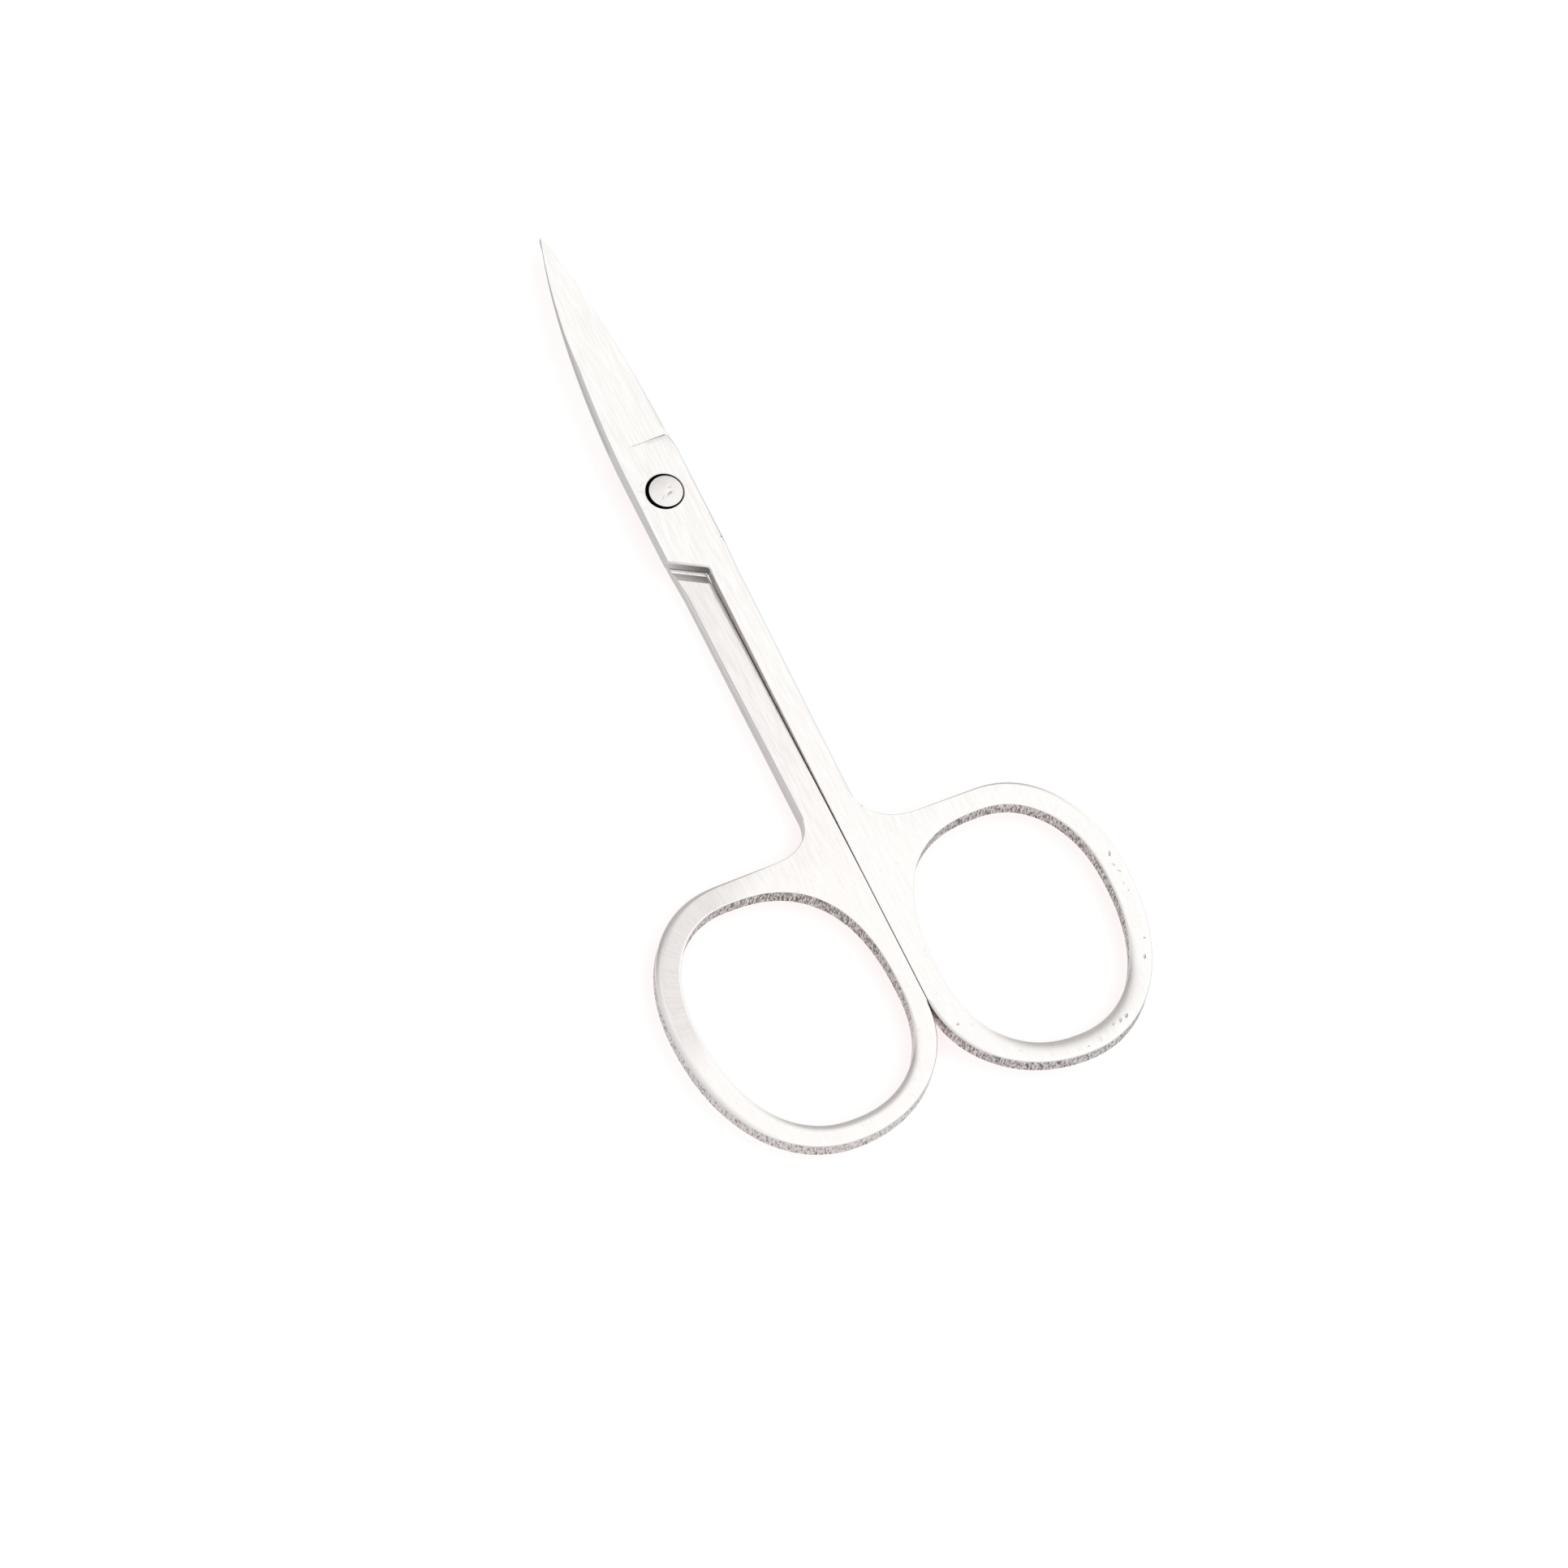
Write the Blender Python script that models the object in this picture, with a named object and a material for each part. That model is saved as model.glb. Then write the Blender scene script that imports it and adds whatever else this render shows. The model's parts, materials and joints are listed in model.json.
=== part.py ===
"""Eyebrow scissors, closed and lying flat: two stamped and ground steel halves on one rivet.

Metres, +Z up. The blade tips point along +Y and the bows lie along -Y. The origin is the middle of
the closed outline, on the surface that the scissors lie on.

Each half is drawn in its own frame, with the pivot axis at its origin: u runs toward the spine of
the blade, y toward the tip, and z from the outside face toward the face that meets the other half.
The lower half lies as drawn. The upper half is turned over about the y axis, so its outside face is
on top and its shank comes to the other side. Shanks and bows lie on both sides of the parting line,
which passes a little beside the pivot axis.
"""
import math
from collections import namedtuple

import bmesh
import bpy
from mathutils import Matrix, Vector

MM = 0.001

# Thickness of the steel, and clearances
BOW_THICKNESS = 1.85 * MM
NECK_THICKNESS = 1.30 * MM
LAP_THICKNESS = 1.15 * MM
RUNNING_GAP = 0.10 * MM
PARTING_GAP = 0.12 * MM

# Lap, heel and ramp, measured from the pivot axis
PARTING_OFFSET = 0.24 * MM
SPINE_OFFSET = 3.00 * MM
EDGE_OFFSET = 2.76 * MM
HEEL_AT_SPINE = 6.35 * MM
HEEL_AT_PARTING = 8.15 * MM
HEEL_CORNER = 0.45 * MM
HEEL_TO_RAMP = 0.40 * MM
RAMP_RUN = 0.85 * MM
GROOVE_DEPTH = 0.06 * MM

# Blade: reach of the tip, grind and edge bevel
BLADE_REACH = 26.75 * MM
SPINE_CURVE_START = 2.0 * MM
PLUNGE_LINE = 5.45 * MM
PLUNGE_ROLL = 1.2 * MM
PLUNGE_SUNK = 0.01 * MM
GRIND_LINE_AT_PLUNGE = 1.2 * MM
GRIND_EDGE_LEFT = 0.20 * MM
GRIND_TIP_LEFT = 0.32 * MM
EDGE_BEVEL_LEAN = 0.90 * MM

# Shank and the web where it joins the bow
SHANK_OFFSET = 2.66 * MM
TAPER_START = 9.60 * MM
TAPER_END = 40.0 * MM
UPPER_FILLET_WIDTH = 4.6 * MM
UPPER_FILLET_HEIGHT = 3.5 * MM
LOWER_FILLET_WIDTH = 3.9 * MM
LOWER_FILLET_HEIGHT = 3.1 * MM

# Bow: heights behind the pivot axis, widths from the parting line. Each bow is ground by hand, so
# the two differ a little.
BOW_TOP = 36.25 * MM
BOW_BOTTOM = 63.25 * MM
UPPER_BOW_SIDE = 21.95 * MM
LOWER_BOW_SIDE = 22.4 * MM
BOW_SHOULDER_END = 12.7 * MM
BOW_WIDEST = 48.4 * MM
BOW_LOWEST = 11.1 * MM
BOW_LEAVES_PARTING = 53.2 * MM
BOW_SQUARENESS = 2.15
BOW_FOOT_SQUARENESS = 2.05

# Finger hole, as the width of the ring round it
RING_TOP = 2.05 * MM
RING_BOTTOM = 2.10 * MM
UPPER_RING_SIDE = 2.05 * MM
LOWER_RING_SIDE = 2.25 * MM
UPPER_RING_INNER = 2.10 * MM
LOWER_RING_INNER = 1.65 * MM
HOLE_HIGHEST = 12.1 * MM
HOLE_LOWEST = 10.9 * MM
HOLE_WIDEST = 48.5 * MM
HOLE_FLATTEST = 51.0 * MM
HOLE_SQUARENESS = 2.2
HOLE_ROOT_SQUARENESS = 2.5

# Broken edges
SHANK_CHAMFER = 0.18 * MM
HEEL_CHAMFER = 0.25 * MM
PARTING_CHAMFER = 0.04 * MM
ROOT_ROUNDING = 0.08 * MM
BOW_ROUNDING_WIDTH = 0.60 * MM
BOW_ROUNDING_HEIGHT = 0.30 * MM
FOOT_ROUNDING = 0.20 * MM
HOLE_ROUNDING = 0.24 * MM
CROWN_WIDTH = 1.10 * MM
CROWN_HEIGHT = 0.30 * MM
ROUNDING_STARTS = 8.0 * MM
ROUNDING_FULL = 22.0 * MM

# Cosine of the angle from the worn side of a ring, seen from the middle of its finger hole
WEAR_STARTS = 0.35
WEAR_FULL = 0.95

# Rivet and its seats
RIVET_HEAD_DIAMETER = 2.94 * MM
RIVET_HEAD_HEIGHT = 0.60 * MM
RIVET_EDGE_ROUNDING = 0.10 * MM
RIVET_DISH = 0.05 * MM
RIVET_PIN_DIAMETER = 1.90 * MM
RIVET_TAIL_DIAMETER = 2.80 * MM
RIVET_TAIL_HEIGHT = 0.45 * MM
PIN_CLEARANCE = 0.05 * MM
SEAT_CLEARANCE = 0.04 * MM
RECESS_DIAMETER = 3.40 * MM
RECESS_OFFSET = 0.11 * MM

# Steps along curves
BLADE_STEPS = 18
BEVEL_FADE_STEPS = 9
QUARTER_STEPS = 18
FILLET_STEPS = 8
CORNER_STEPS = 6
BREAK_STEPS = 4
ROUND_SEGMENTS = 48
SAME_PLACE = 0.0001 * MM
ELLIPSE = 2.0
CREASE_ANGLE = math.radians(35)

# Worked out from the sizes above
STACK_HEIGHT = 2 * LAP_THICKNESS + RUNNING_GAP
CRANK = STACK_HEIGHT - BOW_THICKNESS
PIVOT_X = (LOWER_BOW_SIDE - UPPER_BOW_SIDE) / 2 - PARTING_OFFSET
PIVOT_Y = (BOW_BOTTOM - BLADE_REACH) / 2

# How the two halves differ: where the parting line lies in the half's own frame, its blade, its bow,
# the side of the finger hole where the ring is worn to a low crown, and how far its shank is cranked
# down. Handles are those of the Bezier curves of the blade's spine and edge: along the axis at the
# root of the curve, and (inward, back) at the tip.
Half = namedtuple("Half", "parting tip_shift spine_root spine_tip edge_root edge_tip fillet "
                          "bow_side ring_side ring_inner worn_side crank")
UPPER = Half(parting=-PARTING_OFFSET, tip_shift=-0.50 * MM,
             spine_root=5.0 * MM, spine_tip=(2.92 * MM, 8.25 * MM),
             edge_root=7.3 * MM, edge_tip=(1.35 * MM, 4.0 * MM),
             fillet=(UPPER_FILLET_WIDTH, UPPER_FILLET_HEIGHT),
             bow_side=UPPER_BOW_SIDE, ring_side=UPPER_RING_SIDE, ring_inner=UPPER_RING_INNER,
             worn_side=(-0.45, -0.89), crank=CRANK)
LOWER = Half(parting=PARTING_OFFSET, tip_shift=0.47 * MM,
             spine_root=6.0 * MM, spine_tip=(1.9 * MM, 8.0 * MM),
             edge_root=7.8 * MM, edge_tip=(2.0 * MM, 8.0 * MM),
             fillet=(LOWER_FILLET_WIDTH, LOWER_FILLET_HEIGHT),
             bow_side=LOWER_BOW_SIDE, ring_side=LOWER_RING_SIDE, ring_inner=LOWER_RING_INNER,
             worn_side=(0.45, -0.89), crank=0.0)

# A point of an outline: outside and inside are the (width, height) of its broken edges, and rounded
# is 1 for a round edge and 0 for a flat chamfer.
Rim = namedtuple("Rim", "u y outside inside rounded")
SHARP = (0.0, 0.0)


def clear_scene():
    """Remove every object of the open file."""
    for old in list(bpy.data.objects):
        bpy.data.objects.remove(old, do_unlink=True)


def steel(name, colour, roughness):
    """Bare metal material."""
    material = bpy.data.materials.new(name)
    material.use_nodes = True
    shader = material.node_tree.nodes["Principled BSDF"]
    shader.inputs["Base Color"].default_value = (*colour, 1.0)
    shader.inputs["Metallic"].default_value = 1.0
    shader.inputs["Roughness"].default_value = roughness
    material.diffuse_color = (*colour, 1.0)
    return material


def add_object(name, bm, material=None):
    """Turn a bmesh into an object with smooth faces and sharp creases."""
    mesh = bpy.data.meshes.new(name)
    bm.to_mesh(mesh)
    bm.free()
    mesh.shade_smooth()
    mesh.set_sharp_from_angle(angle=CREASE_ANGLE)
    obj = bpy.data.objects.new(name, mesh)
    bpy.context.scene.collection.objects.link(obj)
    if material is not None:
        mesh.materials.append(material)
    return obj


def hide_cutter(cutter, owner):
    """Keep a cutting shape with the piece it cuts, as a guide that isn't rendered."""
    cutter.parent = owner
    cutter.hide_render = True
    cutter.display_type = "WIRE"


def cut(owner, cutter):
    """Take a cutting shape out of a piece."""
    hide_cutter(cutter, owner)
    modifier = owner.modifiers.new(cutter.name, "BOOLEAN")
    modifier.operation = "DIFFERENCE"
    modifier.object = cutter


def bezier(start, start_handle, end_handle, end, steps):
    """Points along a cubic curve, without its end."""
    points = []
    for step in range(steps):
        t = step / steps
        s = 1 - t
        near_start = s ** 3 * start + 3 * s * s * t * start_handle
        near_end = 3 * s * t * t * end_handle + t ** 3 * end
        points.append(near_start + near_end)
    return points


def oval_quarter(centre, first, second, squareness, steps):
    """Points of a quarter of a squarish oval, from centre + first toward centre + second."""
    points = []
    for step in range(steps):
        angle = math.pi / 2 * step / steps
        along_first = math.cos(angle) ** (2 / squareness)
        along_second = math.sin(angle) ** (2 / squareness)
        points.append(centre + first * along_first + second * along_second)
    return points


def mix(first, second, share):
    """Part of the way from first to second."""
    return first + (second - first) * share


def smooth(value, low, high):
    """0 below low, 1 above high, and a soft rise between."""
    share = min(max((value - low) / (high - low), 0.0), 1.0)
    return share * share * (3 - 2 * share)


def far_round_the_bow(point):
    """0 at the root of the shank, 1 on the far side of the bow."""
    distance = (point - Vector((0.0, -BOW_TOP))).length
    return smooth(distance, ROUNDING_STARTS, ROUNDING_FULL)


def worn_share(half, point):
    """1 where the ring is worn, at the foot of the bow, and 0 on the other sides."""
    centre = Vector((half.parting - HOLE_LOWEST, -HOLE_WIDEST))
    outward = (point - centre).normalized()
    return smooth(outward.dot(Vector(half.worn_side)), WEAR_STARTS, WEAR_FULL)


def outer_bow_rims(half, points):
    """Outer rims of a bow: nearly square at the root, ground round on the far side, less at the foot."""
    rims = []
    for point in points:
        far = far_round_the_bow(point)
        worn = worn_share(half, point)
        width = mix(ROOT_ROUNDING, mix(BOW_ROUNDING_WIDTH, FOOT_ROUNDING, worn), far)
        height = mix(ROOT_ROUNDING, mix(BOW_ROUNDING_HEIGHT, FOOT_ROUNDING, worn), far)
        rims.append(Rim(point.x, point.y, (width, height), (width, height), 1.0))
    return rims


def hole_edge_rims(half, points):
    """Rims of the finger hole: rounded, with a low wide crown where the ring is worn."""
    rims = []
    for point in points:
        size = mix(ROOT_ROUNDING, HOLE_ROUNDING, far_round_the_bow(point))
        worn = worn_share(half, point)
        edge = (mix(size, CROWN_WIDTH, worn), mix(size, CROWN_HEIGHT, worn))
        rims.append(Rim(point.x, point.y, edge, edge, 1.0))
    return rims


def plain_rims(points, outside, inside):
    """Rims with one flat chamfer outside and one inside."""
    return [Rim(point.x, point.y, outside, inside, 0.0) for point in points]


def square_break(size):
    """Width and height of a chamfer at 45 degrees."""
    return (size, size)


def heel_rims(half):
    """Behind the lap: the rounded inner corner by the parting line, then out to the spine."""
    spine = Vector((SPINE_OFFSET, -HEEL_AT_SPINE))
    corner = Vector((half.parting - PARTING_GAP / 2, -HEEL_AT_PARTING))
    along_heel = (spine - corner).normalized() * HEEL_CORNER
    start = corner + Vector((0.0, -HEEL_CORNER))
    points = bezier(start, corner, corner, corner + along_heel, CORNER_STEPS)
    points.append(corner + along_heel)
    rims = plain_rims(points, square_break(HEEL_CHAMFER), SHARP)
    rims += plain_rims([spine], square_break(SHANK_CHAMFER), SHARP)
    return rims


def spine_rims(half, tip):
    """Back of the blade, from the lap to the tip, with a chamfer that fades toward the tip."""
    root = Vector((SPINE_OFFSET, SPINE_CURVE_START))
    root_handle = root + Vector((0.0, half.spine_root))
    inward, back = half.spine_tip
    tip_handle = tip + Vector((inward, -back))
    points = bezier(root, root_handle, tip_handle, tip, BLADE_STEPS)
    rims = []
    for index, point in enumerate(points):
        chamfer = SHANK_CHAMFER * (1 - index / BLADE_STEPS)
        rims.append(Rim(point.x, point.y, square_break(chamfer), SHARP, 0.0))
    return rims


def edge_rims(half, tip):
    """Cutting edge, from the tip to the plunge line: its wall leans in to make the edge bevel.

    The cutting edge itself is the corner on the inside face. Near the tip the lean fades out.
    """
    root = Vector((-EDGE_OFFSET, PLUNGE_LINE))
    root_handle = root + Vector((0.0, half.edge_root))
    inward, back = half.edge_tip
    tip_handle = tip + Vector((-inward, -back))
    points = bezier(tip, tip_handle, root_handle, root, BLADE_STEPS)
    rims = [Rim(tip.x, tip.y, SHARP, SHARP, 0.0)]
    for index, point in enumerate(points[1:], start=1):
        lean = EDGE_BEVEL_LEAN * min(1.0, index / BEVEL_FADE_STEPS)
        rims.append(Rim(point.x, point.y, (lean, LAP_THICKNESS), SHARP, 0.0))
    return rims


def shank_rims(half):
    """Outer side of the lap and shank, down to the fillet that turns into the bow."""
    chamfer = square_break(SHANK_CHAMFER)
    lap_end = -HEEL_AT_SPINE - HEEL_TO_RAMP
    lap_side = [Vector((-EDGE_OFFSET, PLUNGE_LINE - PLUNGE_ROLL)), Vector((-EDGE_OFFSET, lap_end))]
    rims = plain_rims(lap_side, chamfer, SHARP)
    rims += plain_rims([Vector((-SHANK_OFFSET, -TAPER_START))], chamfer, chamfer)
    width, height = half.fillet
    centre = Vector((-SHANK_OFFSET - width, height - BOW_TOP))
    fillet = oval_quarter(centre, Vector((width, 0.0)), Vector((0.0, -height)), ELLIPSE, FILLET_STEPS)
    rims += plain_rims(fillet[:1], chamfer, chamfer)
    rims += outer_bow_rims(half, fillet[1:] + [centre + Vector((0.0, -height))])
    return rims


def bow_outer_rims(half):
    """Outside of the bow, from its shoulder round to the parting line."""
    shoulder = Vector((half.parting - BOW_SHOULDER_END, -BOW_WIDEST))
    low = Vector((half.parting - BOW_LOWEST, -BOW_WIDEST))
    meet = Vector((half.parting - BOW_LOWEST, -BOW_LEAVES_PARTING))
    up_to_top = Vector((0.0, BOW_WIDEST - BOW_TOP))
    out_from_shoulder = Vector((BOW_SHOULDER_END - half.bow_side, 0.0))
    out_from_low = Vector((BOW_LOWEST - half.bow_side, 0.0))
    down_to_foot = Vector((0.0, BOW_WIDEST - BOW_BOTTOM))
    down_from_parting = Vector((0.0, BOW_LEAVES_PARTING - BOW_BOTTOM))
    in_to_parting = Vector((BOW_LOWEST - PARTING_GAP / 2, 0.0))
    quarters = (
        (shoulder, up_to_top, out_from_shoulder, BOW_SQUARENESS),
        (low, out_from_low, down_to_foot, BOW_SQUARENESS),
        (meet, down_from_parting, in_to_parting, BOW_FOOT_SQUARENESS),
    )
    points = []
    for centre, first, second, squareness in quarters:
        points += oval_quarter(centre, first, second, squareness, QUARTER_STEPS)
    return outer_bow_rims(half, points)


def parting_rims(half):
    """Straight side that lies along the other half, up to the heel."""
    edge = square_break(PARTING_CHAMFER)
    wall = half.parting - PARTING_GAP / 2
    return plain_rims([Vector((wall, -BOW_LEAVES_PARTING)), Vector((wall, -TAPER_START))], edge, edge)


def outline_rims(half):
    """Whole outer outline of a half, counter-clockwise seen from its inside face."""
    tip = Vector((half.tip_shift, BLADE_REACH))
    rims = heel_rims(half) + spine_rims(half, tip) + edge_rims(half, tip)
    return rims + shank_rims(half) + bow_outer_rims(half) + parting_rims(half)


def hole_rims(half):
    """Finger hole, clockwise, so that the steel is on the same hand as on the outer outline."""
    top = -BOW_TOP - RING_TOP
    bottom = -BOW_BOTTOM + RING_BOTTOM
    side = half.ring_side - half.bow_side
    inner = -half.ring_inner - PARTING_GAP / 2
    ends = (
        (HOLE_HIGHEST, HOLE_FLATTEST, top, inner, HOLE_ROOT_SQUARENESS),
        (HOLE_LOWEST, HOLE_FLATTEST, bottom, inner, HOLE_SQUARENESS),
        (HOLE_LOWEST, HOLE_WIDEST, bottom, side, HOLE_SQUARENESS),
        (HOLE_HIGHEST, HOLE_WIDEST, top, side, HOLE_SQUARENESS),
    )
    points = []
    for index, (across, along, end, wall, squareness) in enumerate(ends):
        centre = Vector((half.parting - across, -along))
        to_end = Vector((0.0, end + along))
        to_wall = Vector((wall + across, 0.0))
        first, second = (to_wall, to_end) if index % 2 else (to_end, to_wall)
        points += oval_quarter(centre, first, second, squareness, QUARTER_STEPS)
    return hole_edge_rims(half, points)


def inward_normals(rims):
    """Unit vectors into the steel, square to the outline at each point."""
    normals = []
    for index, rim in enumerate(rims):
        before = rims[index - 1]
        after = rims[(index + 1) % len(rims)]
        along = Vector((after.u - before.u, after.y - before.y)).normalized()
        normals.append(Vector((-along.y, along.x)))
    return normals


def break_profile(size, rounded):
    """Steps (inset, rise) of a broken edge, from the face to the wall."""
    width, height = size
    steps = []
    for step in range(BREAK_STEPS + 1):
        t = step / BREAK_STEPS
        angle = t * math.pi / 2
        inset = mix(1 - t, 1 - math.sin(angle), rounded)
        rise = mix(t, 1 - math.cos(angle), rounded)
        steps.append((width * inset, height * rise))
    return steps


def rim_columns(rims):
    """For each rim, its points from the outside face, down the wall, to the inside face."""
    columns = []
    for rim, normal in zip(rims, inward_normals(rims)):
        column = []
        for inset, rise in break_profile(rim.outside, rim.rounded):
            column.append(Vector((rim.u + normal.x * inset, rim.y + normal.y * inset, rise)))
        for inset, rise in reversed(break_profile(rim.inside, rim.rounded)):
            place = (rim.u + normal.x * inset, rim.y + normal.y * inset, BOW_THICKNESS - rise)
            column.append(Vector(place))
        columns.append(column)
    return columns


def add_wall(bm, rims):
    """Skin the broken edges and the wall along an outline; return its outside and inside edges."""
    columns = [[bm.verts.new(place) for place in column] for column in rim_columns(rims)]
    outside_edges = []
    inside_edges = []
    for index, column in enumerate(columns):
        following = columns[(index + 1) % len(columns)]
        for level in range(len(column) - 1):
            bm.faces.new((column[level], following[level], following[level + 1], column[level + 1]))
        outside_edges.append(bm.edges.get((column[0], following[0])))
        inside_edges.append(bm.edges.get((column[-1], following[-1])))
    return outside_edges, inside_edges


def ramp_line(half, behind):
    """Point and direction of a line a distance behind the other half's heel."""
    corner = Vector((half.parting + PARTING_GAP / 2, -HEEL_AT_PARTING - behind, 0.0))
    spine = Vector((-SPINE_OFFSET, -HEEL_AT_SPINE - behind, 0.0))
    return corner, (spine - corner).normalized()


def split_along(bm, point, direction):
    """Add edges where an upright plane along a direction crosses the blank."""
    normal = Vector((-direction.y, direction.x, 0.0))
    geometry = bm.verts[:] + bm.edges[:] + bm.faces[:]
    bmesh.ops.bisect_plane(bm, geom=geometry, plane_co=point, plane_no=normal, dist=SAME_PLACE)


def behind_line(place, point, direction):
    """Distance of a place behind a line, measured along the shank."""
    line_y = point.y + (place.x - point.x) * direction.y / direction.x
    return line_y - place.y


def thickness_at(half, place):
    """Thickness of the steel: thin lap and blade, groove and ramp, neck, then taper up to the bow."""
    foot_point, direction = ramp_line(half, HEEL_TO_RAMP)
    past_foot = behind_line(place, foot_point, direction)
    if past_foot <= -HEEL_TO_RAMP:
        return LAP_THICKNESS
    groove = LAP_THICKNESS - GROOVE_DEPTH
    if past_foot <= 0:
        return mix(groove, LAP_THICKNESS, -past_foot / HEEL_TO_RAMP)
    if past_foot < RAMP_RUN:
        return mix(groove, NECK_THICKNESS, past_foot / RAMP_RUN)
    return mix(NECK_THICKNESS, BOW_THICKNESS, taper_share(place))


def taper_share(place):
    """0 at the neck, 1 where the shank joins the bow."""
    share = (-place.y - TAPER_START) / (TAPER_END - TAPER_START)
    return min(max(share, 0.0), 1.0)


def press_levels(bm, half):
    """Press the inside face down to each place's thickness, and crank the shank."""
    for behind in (0.0, HEEL_TO_RAMP, HEEL_TO_RAMP + RAMP_RUN):
        split_along(bm, *ramp_line(half, behind))
    for distance in (TAPER_START, TAPER_END):
        split_along(bm, Vector((0.0, -distance, 0.0)), Vector((1.0, 0.0, 0.0)))
    for vert in bm.verts:
        if vert.co.z > LAP_THICKNESS + SAME_PLACE:
            vert.co.z -= BOW_THICKNESS - thickness_at(half, vert.co)
        vert.co.z += half.crank * taper_share(vert.co)


def half_blank(half):
    """Stamped and pressed half, before it is ground and pierced."""
    bm = bmesh.new()
    outer_outside, outer_inside = add_wall(bm, outline_rims(half))
    hole_outside, hole_inside = add_wall(bm, hole_rims(half))
    bmesh.ops.triangle_fill(bm, edges=outer_outside + hole_outside, use_beauty=True)
    bmesh.ops.triangle_fill(bm, edges=outer_inside + hole_inside, use_beauty=True)
    bmesh.ops.remove_doubles(bm, verts=bm.verts[:], dist=SAME_PLACE)
    press_levels(bm, half)
    bmesh.ops.remove_doubles(bm, verts=bm.verts[:], dist=SAME_PLACE)
    bmesh.ops.triangulate(bm, faces=bm.faces[:])
    bmesh.ops.dissolve_degenerate(bm, dist=SAME_PLACE, edges=bm.edges[:])
    bmesh.ops.recalc_face_normals(bm, faces=bm.faces[:])
    return bm


def grind_height(u, y):
    """Height of the ground plane over the outside face at one place of the blade."""
    across = (LAP_THICKNESS - GRIND_EDGE_LEFT) / (GRIND_LINE_AT_PLUNGE + EDGE_OFFSET)
    at_tip = LAP_THICKNESS - GRIND_TIP_LEFT
    along = (at_tip - across * GRIND_LINE_AT_PLUNGE) / (BLADE_REACH - PLUNGE_LINE)
    return across * (GRIND_LINE_AT_PLUNGE - u) + along * (y - PLUNGE_LINE)


def grind_cutter(name):
    """What the wheel takes off the outside of the blade.

    It is a flat that ends in a step at the plunge line, and the step's top is rolled off toward the
    lap, where the cutter sinks just out of the steel.
    """
    margin = 2 * SPINE_OFFSET
    stations = []
    for step in range(CORNER_STEPS + 1):
        share = step / CORNER_STEPS
        before = 1 - share
        stations.append((PLUNGE_LINE - PLUNGE_ROLL * before, share ** 3, PLUNGE_SUNK * before))
    stations.append((BLADE_REACH + margin, 1.0, 0.0))
    bm = bmesh.new()
    rows = []
    for y, depth, sunk in stations:
        right = grind_height(margin, y) * depth - sunk
        left = grind_height(-margin, y) * depth - sunk
        places = ((-margin, y, -margin), (margin, y, -margin), (margin, y, right), (-margin, y, left))
        rows.append([bm.verts.new(place) for place in places])
    for row, following in zip(rows, rows[1:]):
        for index in range(4):
            after = (index + 1) % 4
            bm.faces.new((row[index], row[after], following[after], following[index]))
    bm.faces.new(rows[0])
    bm.faces.new(rows[-1])
    bmesh.ops.recalc_face_normals(bm, faces=bm.faces[:])
    return add_object(name, bm)


def turned(profile):
    """Solid of revolution about z from (radius, height) points that start and end on the axis."""
    bm = bmesh.new()
    verts = [bm.verts.new((radius, 0.0, height)) for radius, height in profile]
    edges = [bm.edges.new(pair) for pair in zip(verts, verts[1:])]
    bmesh.ops.spin(bm, geom=verts + edges, cent=(0, 0, 0), axis=(0, 0, 1), angle=2 * math.pi,
                   steps=ROUND_SEGMENTS, use_merge=True)
    bmesh.ops.remove_doubles(bm, verts=bm.verts[:], dist=SAME_PLACE)
    bmesh.ops.recalc_face_normals(bm, faces=bm.faces[:])
    return bm


def bore_cutter(name):
    """Hole for the pin, right through the lap."""
    radius = RIVET_PIN_DIAMETER / 2 + PIN_CLEARANCE
    beyond = 2 * LAP_THICKNESS
    return add_object(name, turned([(0.0, -beyond), (radius, -beyond), (radius, beyond), (0.0, beyond)]))


def head_recess_cutter(name):
    """Round recess for the rivet's head, a little off centre, in the outside face."""
    radius = RECESS_DIAMETER / 2
    depth = RIVET_HEAD_HEIGHT + SEAT_CLEARANCE
    cutter = add_object(name, turned([(0.0, -depth), (radius, -depth), (radius, depth), (0.0, depth)]))
    cutter.location = (RECESS_OFFSET, 0.0, 0.0)
    return cutter


def tail_seat_cutter(name):
    """Countersink for the rivet's spread tail, in the outside face."""
    pin = RIVET_PIN_DIAMETER / 2 + PIN_CLEARANCE
    tail = RIVET_TAIL_DIAMETER / 2 + PIN_CLEARANCE
    slope = (tail - pin) / RIVET_TAIL_HEIGHT
    height = RIVET_TAIL_HEIGHT
    profile = [(0.0, -height), (tail + slope * height, -height), (pin, height), (0.0, height)]
    return add_object(name, turned(profile))


def make_half(name, half, material, seat_cutter):
    """One half: blank, ground blade, seat for its end of the rivet, and bore."""
    piece = add_object(name, half_blank(half), material)
    cut(piece, grind_cutter(name + "_grind"))
    cut(piece, seat_cutter(name + "_seat"))
    cut(piece, bore_cutter(name + "_bore"))
    return piece


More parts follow.
